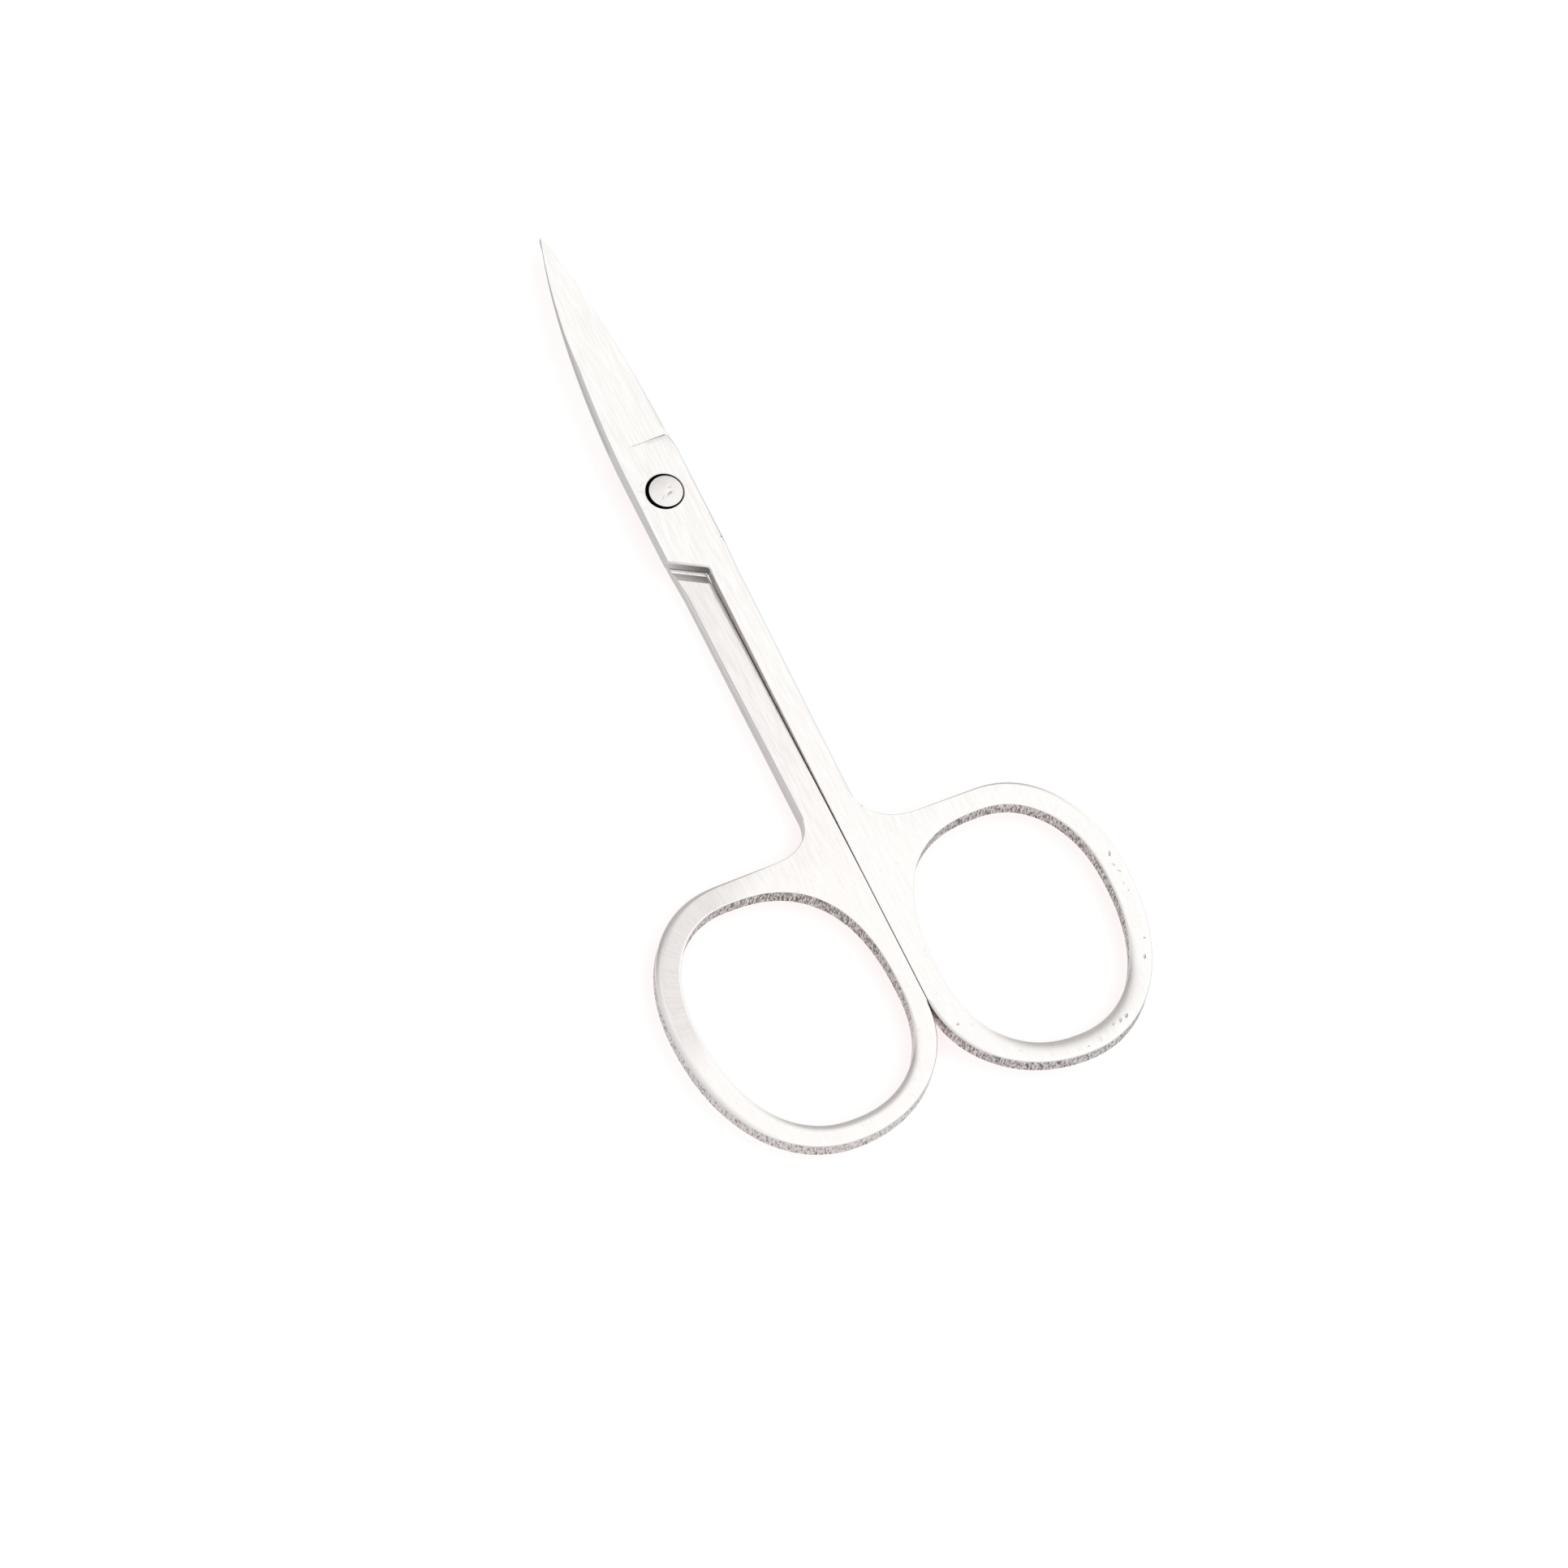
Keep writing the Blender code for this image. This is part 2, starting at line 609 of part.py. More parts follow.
def make_rivet(name, material):
    """Rivet: flush head in the upper half, pin, and tail spread in the lower half."""
    pin = RIVET_PIN_DIAMETER / 2
    head = RIVET_HEAD_DIAMETER / 2
    tail = RIVET_TAIL_DIAMETER / 2
    head_base = STACK_HEIGHT - RIVET_HEAD_HEIGHT
    profile = [(0.0, SEAT_CLEARANCE), (tail, SEAT_CLEARANCE), (pin, RIVET_TAIL_HEIGHT + SEAT_CLEARANCE)]
    profile += [(pin, head_base), (head, head_base)]
    for step in range(BREAK_STEPS + 1):
        angle = math.pi / 2 * step / BREAK_STEPS
        profile.append((head - RIVET_EDGE_ROUNDING * (1 - math.cos(angle)),
                        STACK_HEIGHT - RIVET_EDGE_ROUNDING * (1 - math.sin(angle))))
    profile += [(head / 3, STACK_HEIGHT - RIVET_DISH / 3), (0.0, STACK_HEIGHT - RIVET_DISH)]
    return add_object(name, turned(profile), material)


def build():
    """Lay the lower half, the upper half over it, and the rivet through both."""
    clear_scene()
    lower_steel = steel("lower_steel", (0.80, 0.79, 0.77), 0.32)
    lower = make_half("lower_half", LOWER, lower_steel, tail_seat_cutter)
    lower.location = (PIVOT_X, PIVOT_Y, 0.0)
    upper_steel = steel("upper_steel", (0.84, 0.83, 0.81), 0.28)
    upper = make_half("upper_half", UPPER, upper_steel, head_recess_cutter)
    upper.location = (PIVOT_X, PIVOT_Y, STACK_HEIGHT)
    upper.rotation_euler = (0.0, math.pi, 0.0)
    rivet = make_rivet("pivot_rivet", steel("rivet_steel", (0.70, 0.70, 0.70), 0.38))
    rivet.location = (PIVOT_X, PIVOT_Y, 0.0)


build()
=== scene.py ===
"""Looks of the eyebrow scissors: two ground steel halves on a peened rivet, closed, on a pale floor."""
import json
import math
from collections import namedtuple
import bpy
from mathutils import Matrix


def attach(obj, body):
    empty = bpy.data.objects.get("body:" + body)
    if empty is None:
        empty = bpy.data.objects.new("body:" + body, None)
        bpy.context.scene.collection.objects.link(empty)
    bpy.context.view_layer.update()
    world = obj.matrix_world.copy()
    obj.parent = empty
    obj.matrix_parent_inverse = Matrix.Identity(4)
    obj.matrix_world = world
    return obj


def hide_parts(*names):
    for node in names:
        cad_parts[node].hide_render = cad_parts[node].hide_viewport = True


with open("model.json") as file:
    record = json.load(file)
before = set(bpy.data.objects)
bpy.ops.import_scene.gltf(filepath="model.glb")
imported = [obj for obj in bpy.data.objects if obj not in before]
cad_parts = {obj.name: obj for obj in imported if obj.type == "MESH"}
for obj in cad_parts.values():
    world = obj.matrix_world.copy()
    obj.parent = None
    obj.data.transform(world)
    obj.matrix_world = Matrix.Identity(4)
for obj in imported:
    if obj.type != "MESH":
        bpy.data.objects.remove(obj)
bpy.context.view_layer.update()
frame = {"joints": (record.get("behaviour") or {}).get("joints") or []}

from types import SimpleNamespace

import bmesh
import bpy
from bpy.props import FloatProperty, FloatVectorProperty, IntProperty, PointerProperty
from mathutils import Matrix, Vector, noise

bl_info = {
    "name": "Eyebrow scissors",
    "version": (1, 0, 0),
    "blender": (4, 5, 0),
    "location": "3D View > Sidebar > Scissors",
    "description": "Builds stamped and ground eyebrow scissors with their steel finishes and a pale studio",
    "category": "Add Mesh",
}

MM = 0.001
PIVOT = Vector(frame["joints"][0]["pos_m"])


def size(label, description, millimetres):
    """A length kept in metres and written here in millimetres."""
    return FloatProperty(name=label, description=description, default=millimetres * MM, precision=5,
                         unit="LENGTH")


def share(label, description, default, highest=1.0):
    """A plain number from nothing to its highest."""
    return FloatProperty(name=label, description=description, default=default, min=0.0, max=highest)


def size_pair(label, description, upper, lower):
    """A length of the upper and of the lower half, written here in millimetres like the others."""
    return FloatVectorProperty(name=label, description=description, default=(upper * MM, lower * MM),
                               size=2, precision=5, unit="LENGTH")


def share_pair(label, description, upper, lower):
    """A plain number from 0 to 1 for the upper and for the lower half."""
    return FloatVectorProperty(name=label, description=description, default=(upper, lower), size=2,
                               min=0.0, max=1.0)


def turn(label, description, degrees):
    """An angle written here in degrees."""
    return FloatProperty(name=label, description=description, default=math.radians(degrees),
                         subtype="ANGLE")


def colour(label, description, default):
    """A linear colour."""
    return FloatVectorProperty(name=label, description=description, default=default, subtype="COLOR",
                               min=0.0, max=1.0)


def count(label, description, default):
    """A number of steps along a curve."""
    return IntProperty(name=label, description=description, default=default, min=2)


class SteelSizes(bpy.types.PropertyGroup):
    """Thickness of the steel, and clearances."""
    bow_thickness: size("Bow thickness", "Steel at the bows", 1.85)
    neck_thickness: size("Neck thickness", "Steel behind the ramp", 1.30)
    lap_thickness: size("Lap thickness", "Steel at the lap and blade", 1.15)
    running_gap: size("Running gap", "Between the two laps", 0.10)
    parting_gap: size("Parting gap", "Between the two shanks", 0.05)
    parting_offset: size("Parting offset", "Parting line from the pivot axis", 0.24)


class LapSizes(bpy.types.PropertyGroup):
    """Lap, heel and ramp, measured from the pivot axis."""
    spine_offset: size("Spine offset", "Side of the lap under the blade's back", 3.00)
    heel_at_spine: size("Heel at the spine", "Distance of the heel's outer end", 6.35)
    heel_at_parting: size("Heel at the parting", "Distance of the heel's inner corner", 8.15)
    heel_corner: size("Heel corner", "Rounding of the inner corner", 0.45)
    heel_to_ramp: size("Heel to ramp", "Level ledge behind the heel", 0.40)
    ramp_run: size("Ramp run", "Length of the ramp", 0.85)
    groove_depth: size("Groove depth", "How far the ledge sinks toward the ramp", 0.06)


class BladeSizes(bpy.types.PropertyGroup):
    """Blade: reach of the tip, grind and edge bevel."""
    blade_reach: size("Blade reach", "Pivot axis to the tip", 27.05)
    spine_curve_start: size("Spine curve start", "Where the back starts to curve", 2.0)
    plunge_line: size("Plunge line", "Where the grind starts", 5.45)
    plunge_step: size("Plunge step", "Where the lap's face ends in a step", 5.03)
    plunge_roll: size("Plunge roll", "How far that face is rolled off toward the step", 1.20)
    plunge_break: size("Plunge break", "Broken edge of the step", 0.03)
    roll_lift: size("Roll lift", "Depth of the grind where the roll fades out", 0.40)
    roll_depth: share("Roll depth", "Share of the grind's depth that the roll takes", 0.30)
    break_depth: share("Break depth", "Share that the broken edge takes", 0.07)
    step_edge_width: size("Step edge width", "Bevel along the step, across", 0.055)
    step_edge_depth: size("Step edge depth", "Bevel along the step, down", 0.016)
    step_edge_fade: size("Step edge fade", "Where that bevel fades out, at the shallow end", 0.35)
    grind_line: size("Grind line", "Where the grind meets the lap's face, at the plunge", 1.2)
    edge_left: size("Steel left at the edge", "Thickness at the cutting edge", 0.20)
    tip_left: size("Steel left at the tip", "Thickness at the tip", 0.32)
    bevel_lean: size("Bevel lean", "How far the edge bevel leans in over the full thickness", 0.90)


class BowSizes(bpy.types.PropertyGroup):
    """Shank, bow and finger hole: heights behind the pivot axis, widths from the parting line."""
    taper_start: size("Taper start", "Where the shank starts to thicken", 9.60)
    taper_end: size("Taper end", "Where it has the bow's thickness", 40.0)
    bow_top: size("Bow top", "Upper side of the bow", 36.25)
    bow_bottom: size("Bow bottom", "Lower side of the bow", 63.25)
    bow_shoulder_end: size("Shoulder end", "Where the shoulder's curve starts", 12.7)
    bow_widest: size("Bow widest", "Height of the widest place", 48.4)
    bow_lowest: size("Bow lowest", "Width of the lowest place", 11.1)
    bow_leaves_parting: size("Bow leaves the parting", "Where the straight inner side ends", 53.2)
    ring_top: size("Ring top", "Width of the ring above the hole", 2.05)
    ring_bottom: size("Ring bottom", "Width of the ring below the hole", 2.10)
    hole_highest: size("Hole highest", "Width of the hole's highest place", 12.1)
    hole_lowest: size("Hole lowest", "Width of the hole's lowest place", 10.9)
    hole_widest: size("Hole widest", "Height of the hole's outer widest place", 48.5)
    hole_flattest: size("Hole flattest", "Height of the hole's inner widest place", 51.0)
    bow_squareness: share("Bow squareness", "2 is an ellipse, more is squarer", 2.15, 4.0)
    foot_squareness: share("Foot squareness", "The same, beside the parting line", 2.05, 4.0)
    hole_squareness: share("Hole squareness", "The same, round the hole", 2.2, 4.0)
    root_squareness: share("Root squareness", "The same, at the hole's root corner", 2.5, 4.0)


class BreakSizes(bpy.types.PropertyGroup):
    """Broken and rounded edges."""
    shank_chamfer: size("Shank chamfer", "Along the shanks and the back", 0.18)
    spine_chamfer: size("Spine chamfer", "Along the blade's back", 0.24)
    heel_chamfer: size("Heel chamfer", "Along the heel", 0.13)
    parting_chamfer: size("Parting chamfer", "Along the parting line", 0.04)
    root_rounding: size("Root rounding", "Bow edges near the web", 0.08)
    foot_rounding: size("Foot rounding", "Outer bow edges at the foot", 0.20)
    hole_rounding_width: size("Hole rounding width", "Edges of the finger hole, across", 0.28)
    hole_rounding_height: size("Hole rounding height", "Edges of the finger hole, down", 0.13)
    rounding_starts: size("Rounding starts", "From the root", 8.0)
    rounding_full: size("Rounding full", "From the root", 22.0)
    wear_starts: turn("Wear starts", "Clockwise from the right, round the hole", 24.0)
    wear_full: turn("Wear full", "Where the crown has its whole width", 54.0)
    wear_fades: turn("Wear fades", "Where it starts to narrow again", 100.0)
    wear_ends: turn("Wear ends", "Where it has gone", 162.0)
    recess_lip: size("Recess lip", "Burr taken off round the rivet's recess", 0.07)


class RivetSizes(bpy.types.PropertyGroup):
    """Rivet and its seats."""
    head_diameter: size("Head diameter", "Across the flush head", 3.06)
    head_height: size("Head height", "Depth of the head", 0.60)
    head_rounding: size("Head rounding", "Edge of the head", 0.05)
    head_dome: size("Head dome", "Rise of the peened face", 0.10)
    pin_diameter: size("Pin diameter", "Across the pin", 1.90)
    tail_diameter: size("Tail diameter", "Across the spread tail", 2.80)
    tail_height: size("Tail height", "Depth of the countersink", 0.45)
    pin_clearance: size("Pin clearance", "Round the pin", 0.05)
    seat_clearance: size("Seat clearance", "Under the head", 0.04)
    recess_diameter: size("Recess diameter", "Across the recess", 3.44)
    recess_offset: size("Recess offset", "The recess lies a little beside the axis", 0.14)


class OwnSizes(bpy.types.PropertyGroup):
    """Sizes that differ between the halves, which were ground by hand: the upper's, then the lower's."""
    bow_side: size_pair("Bow side", "Parting line to the bow's far side", 21.95, 22.4)
    ring_side: size_pair("Ring side", "Ring on the far side", 2.05, 2.25)
    ring_inner: size_pair("Ring inner", "Ring along the parting line", 2.10, 1.65)
    fillet_width: size_pair("Fillet width", "Shank to bow, across", 4.6, 3.9)
    fillet_height: size_pair("Fillet height", "Shank to bow, along", 3.5, 3.1)
    edge_offset: size_pair("Edge offset", "Side of the lap under the cutting edge", 2.76, 2.60)
    shank_offset: size_pair("Shank offset", "Outer side of the shank", 2.66, 2.45)
    bow_rounding_width: size_pair("Bow rounding width", "Outer bow edges, far side, across", 0.50, 0.95)
    bow_rounding_height: size_pair("Bow rounding height", "Outer bow edges, far side, down", 0.26, 0.32)
    crown_width: size_pair("Crown width", "Crown worn on the ring's foot side", 1.60, 0.90)
    crown_height: size_pair("Crown height", "Height of that crown", 0.33, 0.28)
    tip_shift: size_pair("Tip shift", "Tip from the pivot axis, toward the back", -0.64, 0.61)
    spine_root: size_pair("Spine root", "Handle of the back's curve at the lap", 5.0, 6.0)
    spine_tip_in: size_pair("Spine tip in", "Handle at the tip, across", 2.92, 1.9)
    spine_tip_back: size_pair("Spine tip back", "Handle at the tip, along", 8.25, 8.0)
    edge_root: size_pair("Edge root", "Handle of the edge's curve at the plunge line", 7.3, 7.8)
    edge_tip_in: size_pair("Edge tip in", "Handle at the tip, across", 1.35, 2.0)
    edge_tip_back: size_pair("Edge tip back", "Handle at the tip, along", 4.0, 8.0)
    # How dark the bow's walls are painted, for dull sheared steel and for the shade in them
    hole_wall: share_pair("Hole wall", "How unpolished the finger hole's far wall is", 0.63, 0.52)
    outer_wall: share_pair("Outer wall", "How unpolished the bow's outer wall is", 0.54, 0.18)


class CurveSteps(bpy.types.PropertyGroup):
    """Steps along curves."""
    blade_steps: count("Blade steps", "Along the back and along the edge", 30)
    quarter_steps: count("Quarter steps", "In a quarter of a bow or hole", 44)
    fillet_steps: count("Fillet steps", "In the fillet", 14)
    corner_steps: count("Corner steps", "In small corners", 8)
    roll_steps: count("Roll steps", "In the roll of the plunge", 20)
    break_steps: count("Break steps", "Across a broken edge", 7)
    wall_steps: count("Wall steps", "Up a wall", 4)
    round_segments: count("Round segments", "Round the rivet", 96)


class FinishColours(bpy.types.PropertyGroup):
    """Steel finishes, with the colours that also paint shade on walls, edges, dents and the recess."""
    upper_face: colour("Upper face", "Brushed face of the upper half", (1.0, 0.985, 0.97))
    lower_face: colour("Lower face", "Brushed face of the lower half", (1.0, 0.98, 0.965))
    ground_wall: colour("Ground wall", "Sides of the shanks, and the blade's back", (0.69, 0.664, 0.659))
    # The torn dark of the sheared walls, also the painted shade of dull walls and of dents
    sheared_dark_and_shade: colour("Sheared dark", "Torn steel in the stamped walls", (0.085, 0.068, 0.065))
    sheared_light: colour("Sheared light", "Bright steel in the stamped walls", (0.74, 0.67, 0.66))
    # Broken edges and the cutting edge are painted darker than the faces: a painted shade line along each
    # edge
    painted_edge_shade: colour("Edge face", "Broken edges and the cutting edge", (0.60, 0.585, 0.61))
    stain: colour("Stain", "Faint brown stains in the faces", (0.42, 0.33, 0.28))
    # Near black in the rivet's recess and on the head's sides: oil and dust, and painted shade in the
    # narrow gap round the head
    soot_and_shade: colour("Soot", "Oil and dust in the rivet's recess", (0.008, 0.008, 0.010))
    rivet_face: colour("Rivet face", "Peened head of the rivet", (1.0, 0.975, 0.96))
    face_roughness: share("Face roughness", "Of the brushed faces", 0.18)
    wall_roughness: share("Wall roughness", "Of the walls", 0.46)


class StageSettings(bpy.types.PropertyGroup):
    """Floor, light and camera."""
    floor_width: size("Floor width", "Side of the square floor", 8000.0)
    floor_colour: colour("Floor colour", "What the lamps light", (0.124, 0.392, 0.412))
    floor_white: colour("Floor white", "What the floor shows unlit", (0.90, 0.69, 0.67))
    sky_bright: colour("Sky bright", "Overhead", (1.0, 0.995, 0.99))
    sky_dark: colour("Sky dark", "Beyond the blades", (0.475, 0.455, 0.445))
    side_dark: share("Side dark", "Share of the light that comes from the left", 0.72)
    sky_strength: share("Sky strength", "Brightness of the studio", 1.03, 2.0)
    lamp_power: FloatProperty(name="Lamp power", description="Soft lamp", default=0.50, min=0.0)
    lamp_width: size("Lamp width", "Side of the soft lamp", 450.0)
    camera_tilt: turn("Camera tilt", "From straight overhead", 27.0)
    camera_roll: turn("Camera roll", "About the line of sight", 16.0)


class ScissorsSettings(bpy.types.PropertyGroup):
    """Everything that shapes and finishes the scissors."""
    steel: PointerProperty(type=SteelSizes)
    lap: PointerProperty(type=LapSizes)
    blade: PointerProperty(type=BladeSizes)
    bow: PointerProperty(type=BowSizes)
    breaks: PointerProperty(type=BreakSizes)
    rivet: PointerProperty(type=RivetSizes)
    own: PointerProperty(type=OwnSizes)
    steps: PointerProperty(type=CurveSteps)
    finish: PointerProperty(type=FinishColours)
    stage: PointerProperty(type=StageSettings)


SHARED_GROUPS = ("steel", "lap", "blade", "bow", "breaks", "rivet", "steps", "finish")
SAME_PLACE = 0.0001 * MM
JUST_BEYOND = 0.001 * MM
UPWARD = Vector((0.0, 0.0, 1.0))

# A point of an outline: outside and inside are the (width, height) of its broken edges, and rounded is
# 1 for a round edge and 0 for a flat chamfer
Rim = namedtuple("Rim", "u y outside inside rounded")
SHARP = (0.0, 0.0)

# A mark in a face: place and size in millimetres from the pivot axis, x to the right with the
# scissors seen from above, turned in degrees
Mark = namedtuple("Mark", "x y long wide deep turn")
UPPER_MARKS = (
    Mark(21.30, -46.45, 0.60, 0.20, 0.05, 70), Mark(21.15, -47.55, 0.45, 0.12, 0.03, -60),
    Mark(21.35, -48.30, 0.50, 0.12, 0.03, -50), Mark(21.20, -49.50, 0.30, 0.12, 0.02, 80),
    Mark(21.30, -50.30, 0.25, 0.15, 0.02, 20), Mark(20.60, -55.00, 0.26, 0.22, 0.04, 0),
    Mark(19.85, -56.65, 0.50, 0.25, 0.05, 60), Mark(1.68, -56.40, 0.34, 0.26, 0.04, 30),
    Mark(11.50, -62.65, 0.30, 0.16, 0.03, 10), Mark(12.80, -62.40, 0.40, 0.12, 0.02, 80),
    Mark(2.66, -5.87, 0.30, 0.22, 0.12, 0), Mark(3.02, -34.06, 0.30, 0.20, 0.05, 40),
    Mark(-1.71, 1.40, 0.55, 0.10, 0.012, 20), Mark(-2.19, 0.74, 0.70, 0.08, 0.010, -10),
    Mark(-2.55, -0.90, 0.60, 0.08, 0.010, 15), Mark(15.87, -61.22, 0.55, 0.26, 0.06, 55),
    Mark(15.19, -61.46, 0.50, 0.20, 0.05, 48), Mark(14.46, -61.50, 0.40, 0.16, 0.04, 40),
)
LOWER_MARKS = (
    Mark(-12.00, -41.04, 0.30, 0.20, 0.02, 10), Mark(-21.10, -56.50, 0.80, 0.30, 0.30, -62),
    Mark(-20.28, -58.12, 0.80, 0.30, 0.30, -58),
)


def values_of(group):
    """Each setting of a group, by its name."""
    found = {}
    for prop in group.bl_rna.properties:
        if not prop.is_readonly and prop.identifier != "name":
            value = getattr(group, prop.identifier)
            found[prop.identifier] = tuple(value) if getattr(prop, "is_array", False) else value
    return found


def sizes_of(scene):
    """All shared sizes under one roof, with those worked out from them."""
    s = SimpleNamespace()
    for name in SHARED_GROUPS:
        vars(s).update(values_of(getattr(scene.eyebrow_scissors, name)))
    s.stack_height = 2 * s.lap_thickness + s.running_gap
    return s


def half_sizes(scene, is_upper):
    """Sizes of one half: the shared ones, its own, its parting line and its crank."""
    s = sizes_of(scene)
    for name, (upper, lower) in values_of(scene.eyebrow_scissors.own).items():
        setattr(s, name, upper if is_upper else lower)
    s.parting = -s.parting_offset if is_upper else s.parting_offset
    s.crank = s.stack_height - s.bow_thickness if is_upper else 0.0
    s.side = -1.0 if is_upper else 1.0
    return s


def smooth(value, low, high):
    """0 below low, 1 above high, and a soft rise between."""
    t = min(max((value - low) / (high - low), 0.0), 1.0)
    return t * t * (3 - 2 * t)


def mix(a, b, t):
    """Part of the way from a to b."""
    return a + (b - a) * t


def fresh_object(name, data):
    """New object in the scene, in place of an older one of the same name."""
    old = bpy.data.objects.get(name)
    if old is not None:
        bpy.data.objects.remove(old, do_unlink=True)
    made = bpy.data.objects.new(name, data)
    bpy.context.scene.collection.objects.link(made)
    return made


# Outlines of a half, in its own frame: u toward the spine, y toward the tip, z from the outside face

# Power by which the chamfer of the blade's back fades toward the tip, and squareness of an ellipse
CHAMFER_FADE = 3
ELLIPSE = 2.0


def bezier(start, start_handle, end_handle, end, steps):
    """Points along a cubic curve, without its end."""
    points = []
    for step in range(steps):
        t = step / steps
        s = 1 - t
        point = s ** 3 * start + 3 * s * s * t * start_handle
        point += 3 * s * t * t * end_handle
        points.append(point + t ** 3 * end)
    return points


def oval_quarter(centre, first, second, squareness, steps):
    """Points of a quarter of a squarish oval, from centre + first toward centre + second."""
    points = []
    for step in range(steps):
        angle = math.pi / 2 * step / steps
        along_first = math.cos(angle) ** (2 / squareness)
        along_second = math.sin(angle) ** (2 / squareness)
        points.append(centre + first * along_first + second * along_second)
    return points


def far_round_the_bow(h, point):
    """0 at the root of the shank, 1 on the far side of the bow."""
    distance = (point - Vector((0.0, -h.bow_top))).length
    return smooth(distance, h.rounding_starts, h.rounding_full)


def hole_middle(h):
    """Middle of the finger hole."""
    return Vector((h.parting - h.hole_lowest, -h.hole_widest))


def foot_share(h, point):
    """1 on the side of the bow that wears: the foot, toward the right seen from above."""
    out = point - hole_middle(h)
    angle = -math.atan2(out.y, h.side * out.x)
    return smooth(angle, h.wear_starts, h.wear_full) * (1 - smooth(angle, h.wear_fades, h.wear_ends))


def outer_bow_rims(h, points):
    """Outer rims of a bow: nearly square at the root, rounded on the far side, less so at the foot."""
    rims = []
    for point in points:
        far = far_round_the_bow(h, point)
        worn = foot_share(h, point)
        width = mix(h.root_rounding, mix(h.bow_rounding_width, h.foot_rounding, worn), far)
        height = mix(h.root_rounding, mix(h.bow_rounding_height, h.foot_rounding, worn), far)
        rims.append(Rim(point.x, point.y, (width, height), (width, height), 1.0))
    return rims


def hole_bow_rims(h, points):
    """Rims of the finger hole: rounded, with a wide worn crown on the foot side."""
    rims = []
    for point in points:
        far = far_round_the_bow(h, point)
        worn = foot_share(h, point)
        width = mix(h.root_rounding, mix(h.hole_rounding_width, h.crown_width, worn), far)
        height = mix(h.root_rounding, mix(h.hole_rounding_height, h.crown_height, worn), far)
        edge = (width, height)
        rims.append(Rim(point.x, point.y, edge, edge, 1.0))
    return rims


def plain_rims(points, outside, inside):
    """Rims with one flat chamfer outside and one inside."""
    return [Rim(point.x, point.y, outside, inside, 0.0) for point in points]


def square_break(width):
    """Width and height of a chamfer at 45 degrees."""
    return (width, width)


def heel_rims(h):
    """Behind the lap: the rounded inner corner by the parting line, then out to the spine."""
    spine = Vector((h.spine_offset, -h.heel_at_spine))
    corner = Vector((h.parting - h.parting_gap / 2, -h.heel_at_parting))
    along_heel = (spine - corner).normalized() * h.heel_corner
    start = corner + Vector((0.0, -h.heel_corner))
    points = bezier(start, corner, corner, corner + along_heel, h.corner_steps)
    points.append(corner + along_heel)
    rims = plain_rims(points, square_break(h.heel_chamfer), SHARP)
    rims += plain_rims([spine], square_break(h.shank_chamfer), SHARP)
    return rims


def spine_rims(h, tip):
    """Back of the blade, from the lap to the tip, with a chamfer that fades toward the tip."""
    root = Vector((h.spine_offset, h.spine_curve_start))
    last = tip + Vector((h.spine_tip_in, -h.spine_tip_back))
    points = bezier(root, root + Vector((0.0, h.spine_root)), last, tip, h.blade_steps)
    rims = []
    for index, point in enumerate(points):
        chamfer = h.spine_chamfer * (1 - (index / h.blade_steps) ** CHAMFER_FADE)
        rims.append(Rim(point.x, point.y, square_break(chamfer), SHARP, 0.0))
    return rims


def edge_rims(h, tip):
    """Cutting edge, from the tip to the plunge line, with the lean that makes the edge bevel."""
    root = Vector((-h.edge_offset, h.plunge_line))
    first = tip + Vector((-h.edge_tip_in, -h.edge_tip_back))
    points = bezier(tip, first, root + Vector((0.0, h.edge_root)), root, h.blade_steps)
    rims = [Rim(tip.x, tip.y, SHARP, SHARP, 0.0)]
    for index, point in enumerate(points[1:], start=1):
        lean = h.bevel_lean * min(1.0, 2 * index / h.blade_steps)
        rims.append(Rim(point.x, point.y, (lean, h.lap_thickness), SHARP, 0.0))
    return rims


def shank_rims(h):
    """Outer side of the lap and shank, down to the fillet that turns into the bow."""
    chamfer = square_break(h.shank_chamfer)
    lap_end = -h.heel_at_spine - h.heel_to_ramp
    lap_heights = (h.plunge_step - h.plunge_roll, lap_end)
    rims = plain_rims([Vector((-h.edge_offset, height)) for height in lap_heights], chamfer, SHARP)
    rims += plain_rims([Vector((-h.shank_offset, -h.taper_start))], chamfer, chamfer)
    centre = Vector((-h.shank_offset - h.fillet_width, h.fillet_height - h.bow_top))
    across = Vector((h.fillet_width, 0.0))
    along = Vector((0.0, -h.fillet_height))
    fillet = oval_quarter(centre, across, along, ELLIPSE, h.fillet_steps)
    rims += plain_rims(fillet[:1], chamfer, chamfer)
    rims += outer_bow_rims(h, fillet[1:] + [centre + along])
    return rims


def bow_outline_rims(h):
    """Outside of the bow, from its shoulder round to the parting line."""
    shoulder = Vector((h.parting - h.bow_shoulder_end, -h.bow_widest))
    low = Vector((h.parting - h.bow_lowest, -h.bow_widest))
    meet = Vector((h.parting - h.bow_lowest, -h.bow_leaves_parting))
    up = (0.0, h.bow_widest - h.bow_top)
    down = (0.0, h.bow_widest - h.bow_bottom)
    foot_down = (0.0, h.bow_leaves_parting - h.bow_bottom)
    foot_in = (h.bow_lowest - h.parting_gap / 2, 0.0)
    quarters = (
        (shoulder, up, (h.bow_shoulder_end - h.bow_side, 0.0), h.bow_squareness),
        (low, (h.bow_lowest - h.bow_side, 0.0), down, h.bow_squareness),
        (meet, foot_down, foot_in, h.foot_squareness),
    )
    points = []
    for centre, first, second, squareness in quarters:
        points += oval_quarter(centre, Vector(first), Vector(second), squareness, h.quarter_steps)
    return outer_bow_rims(h, points)


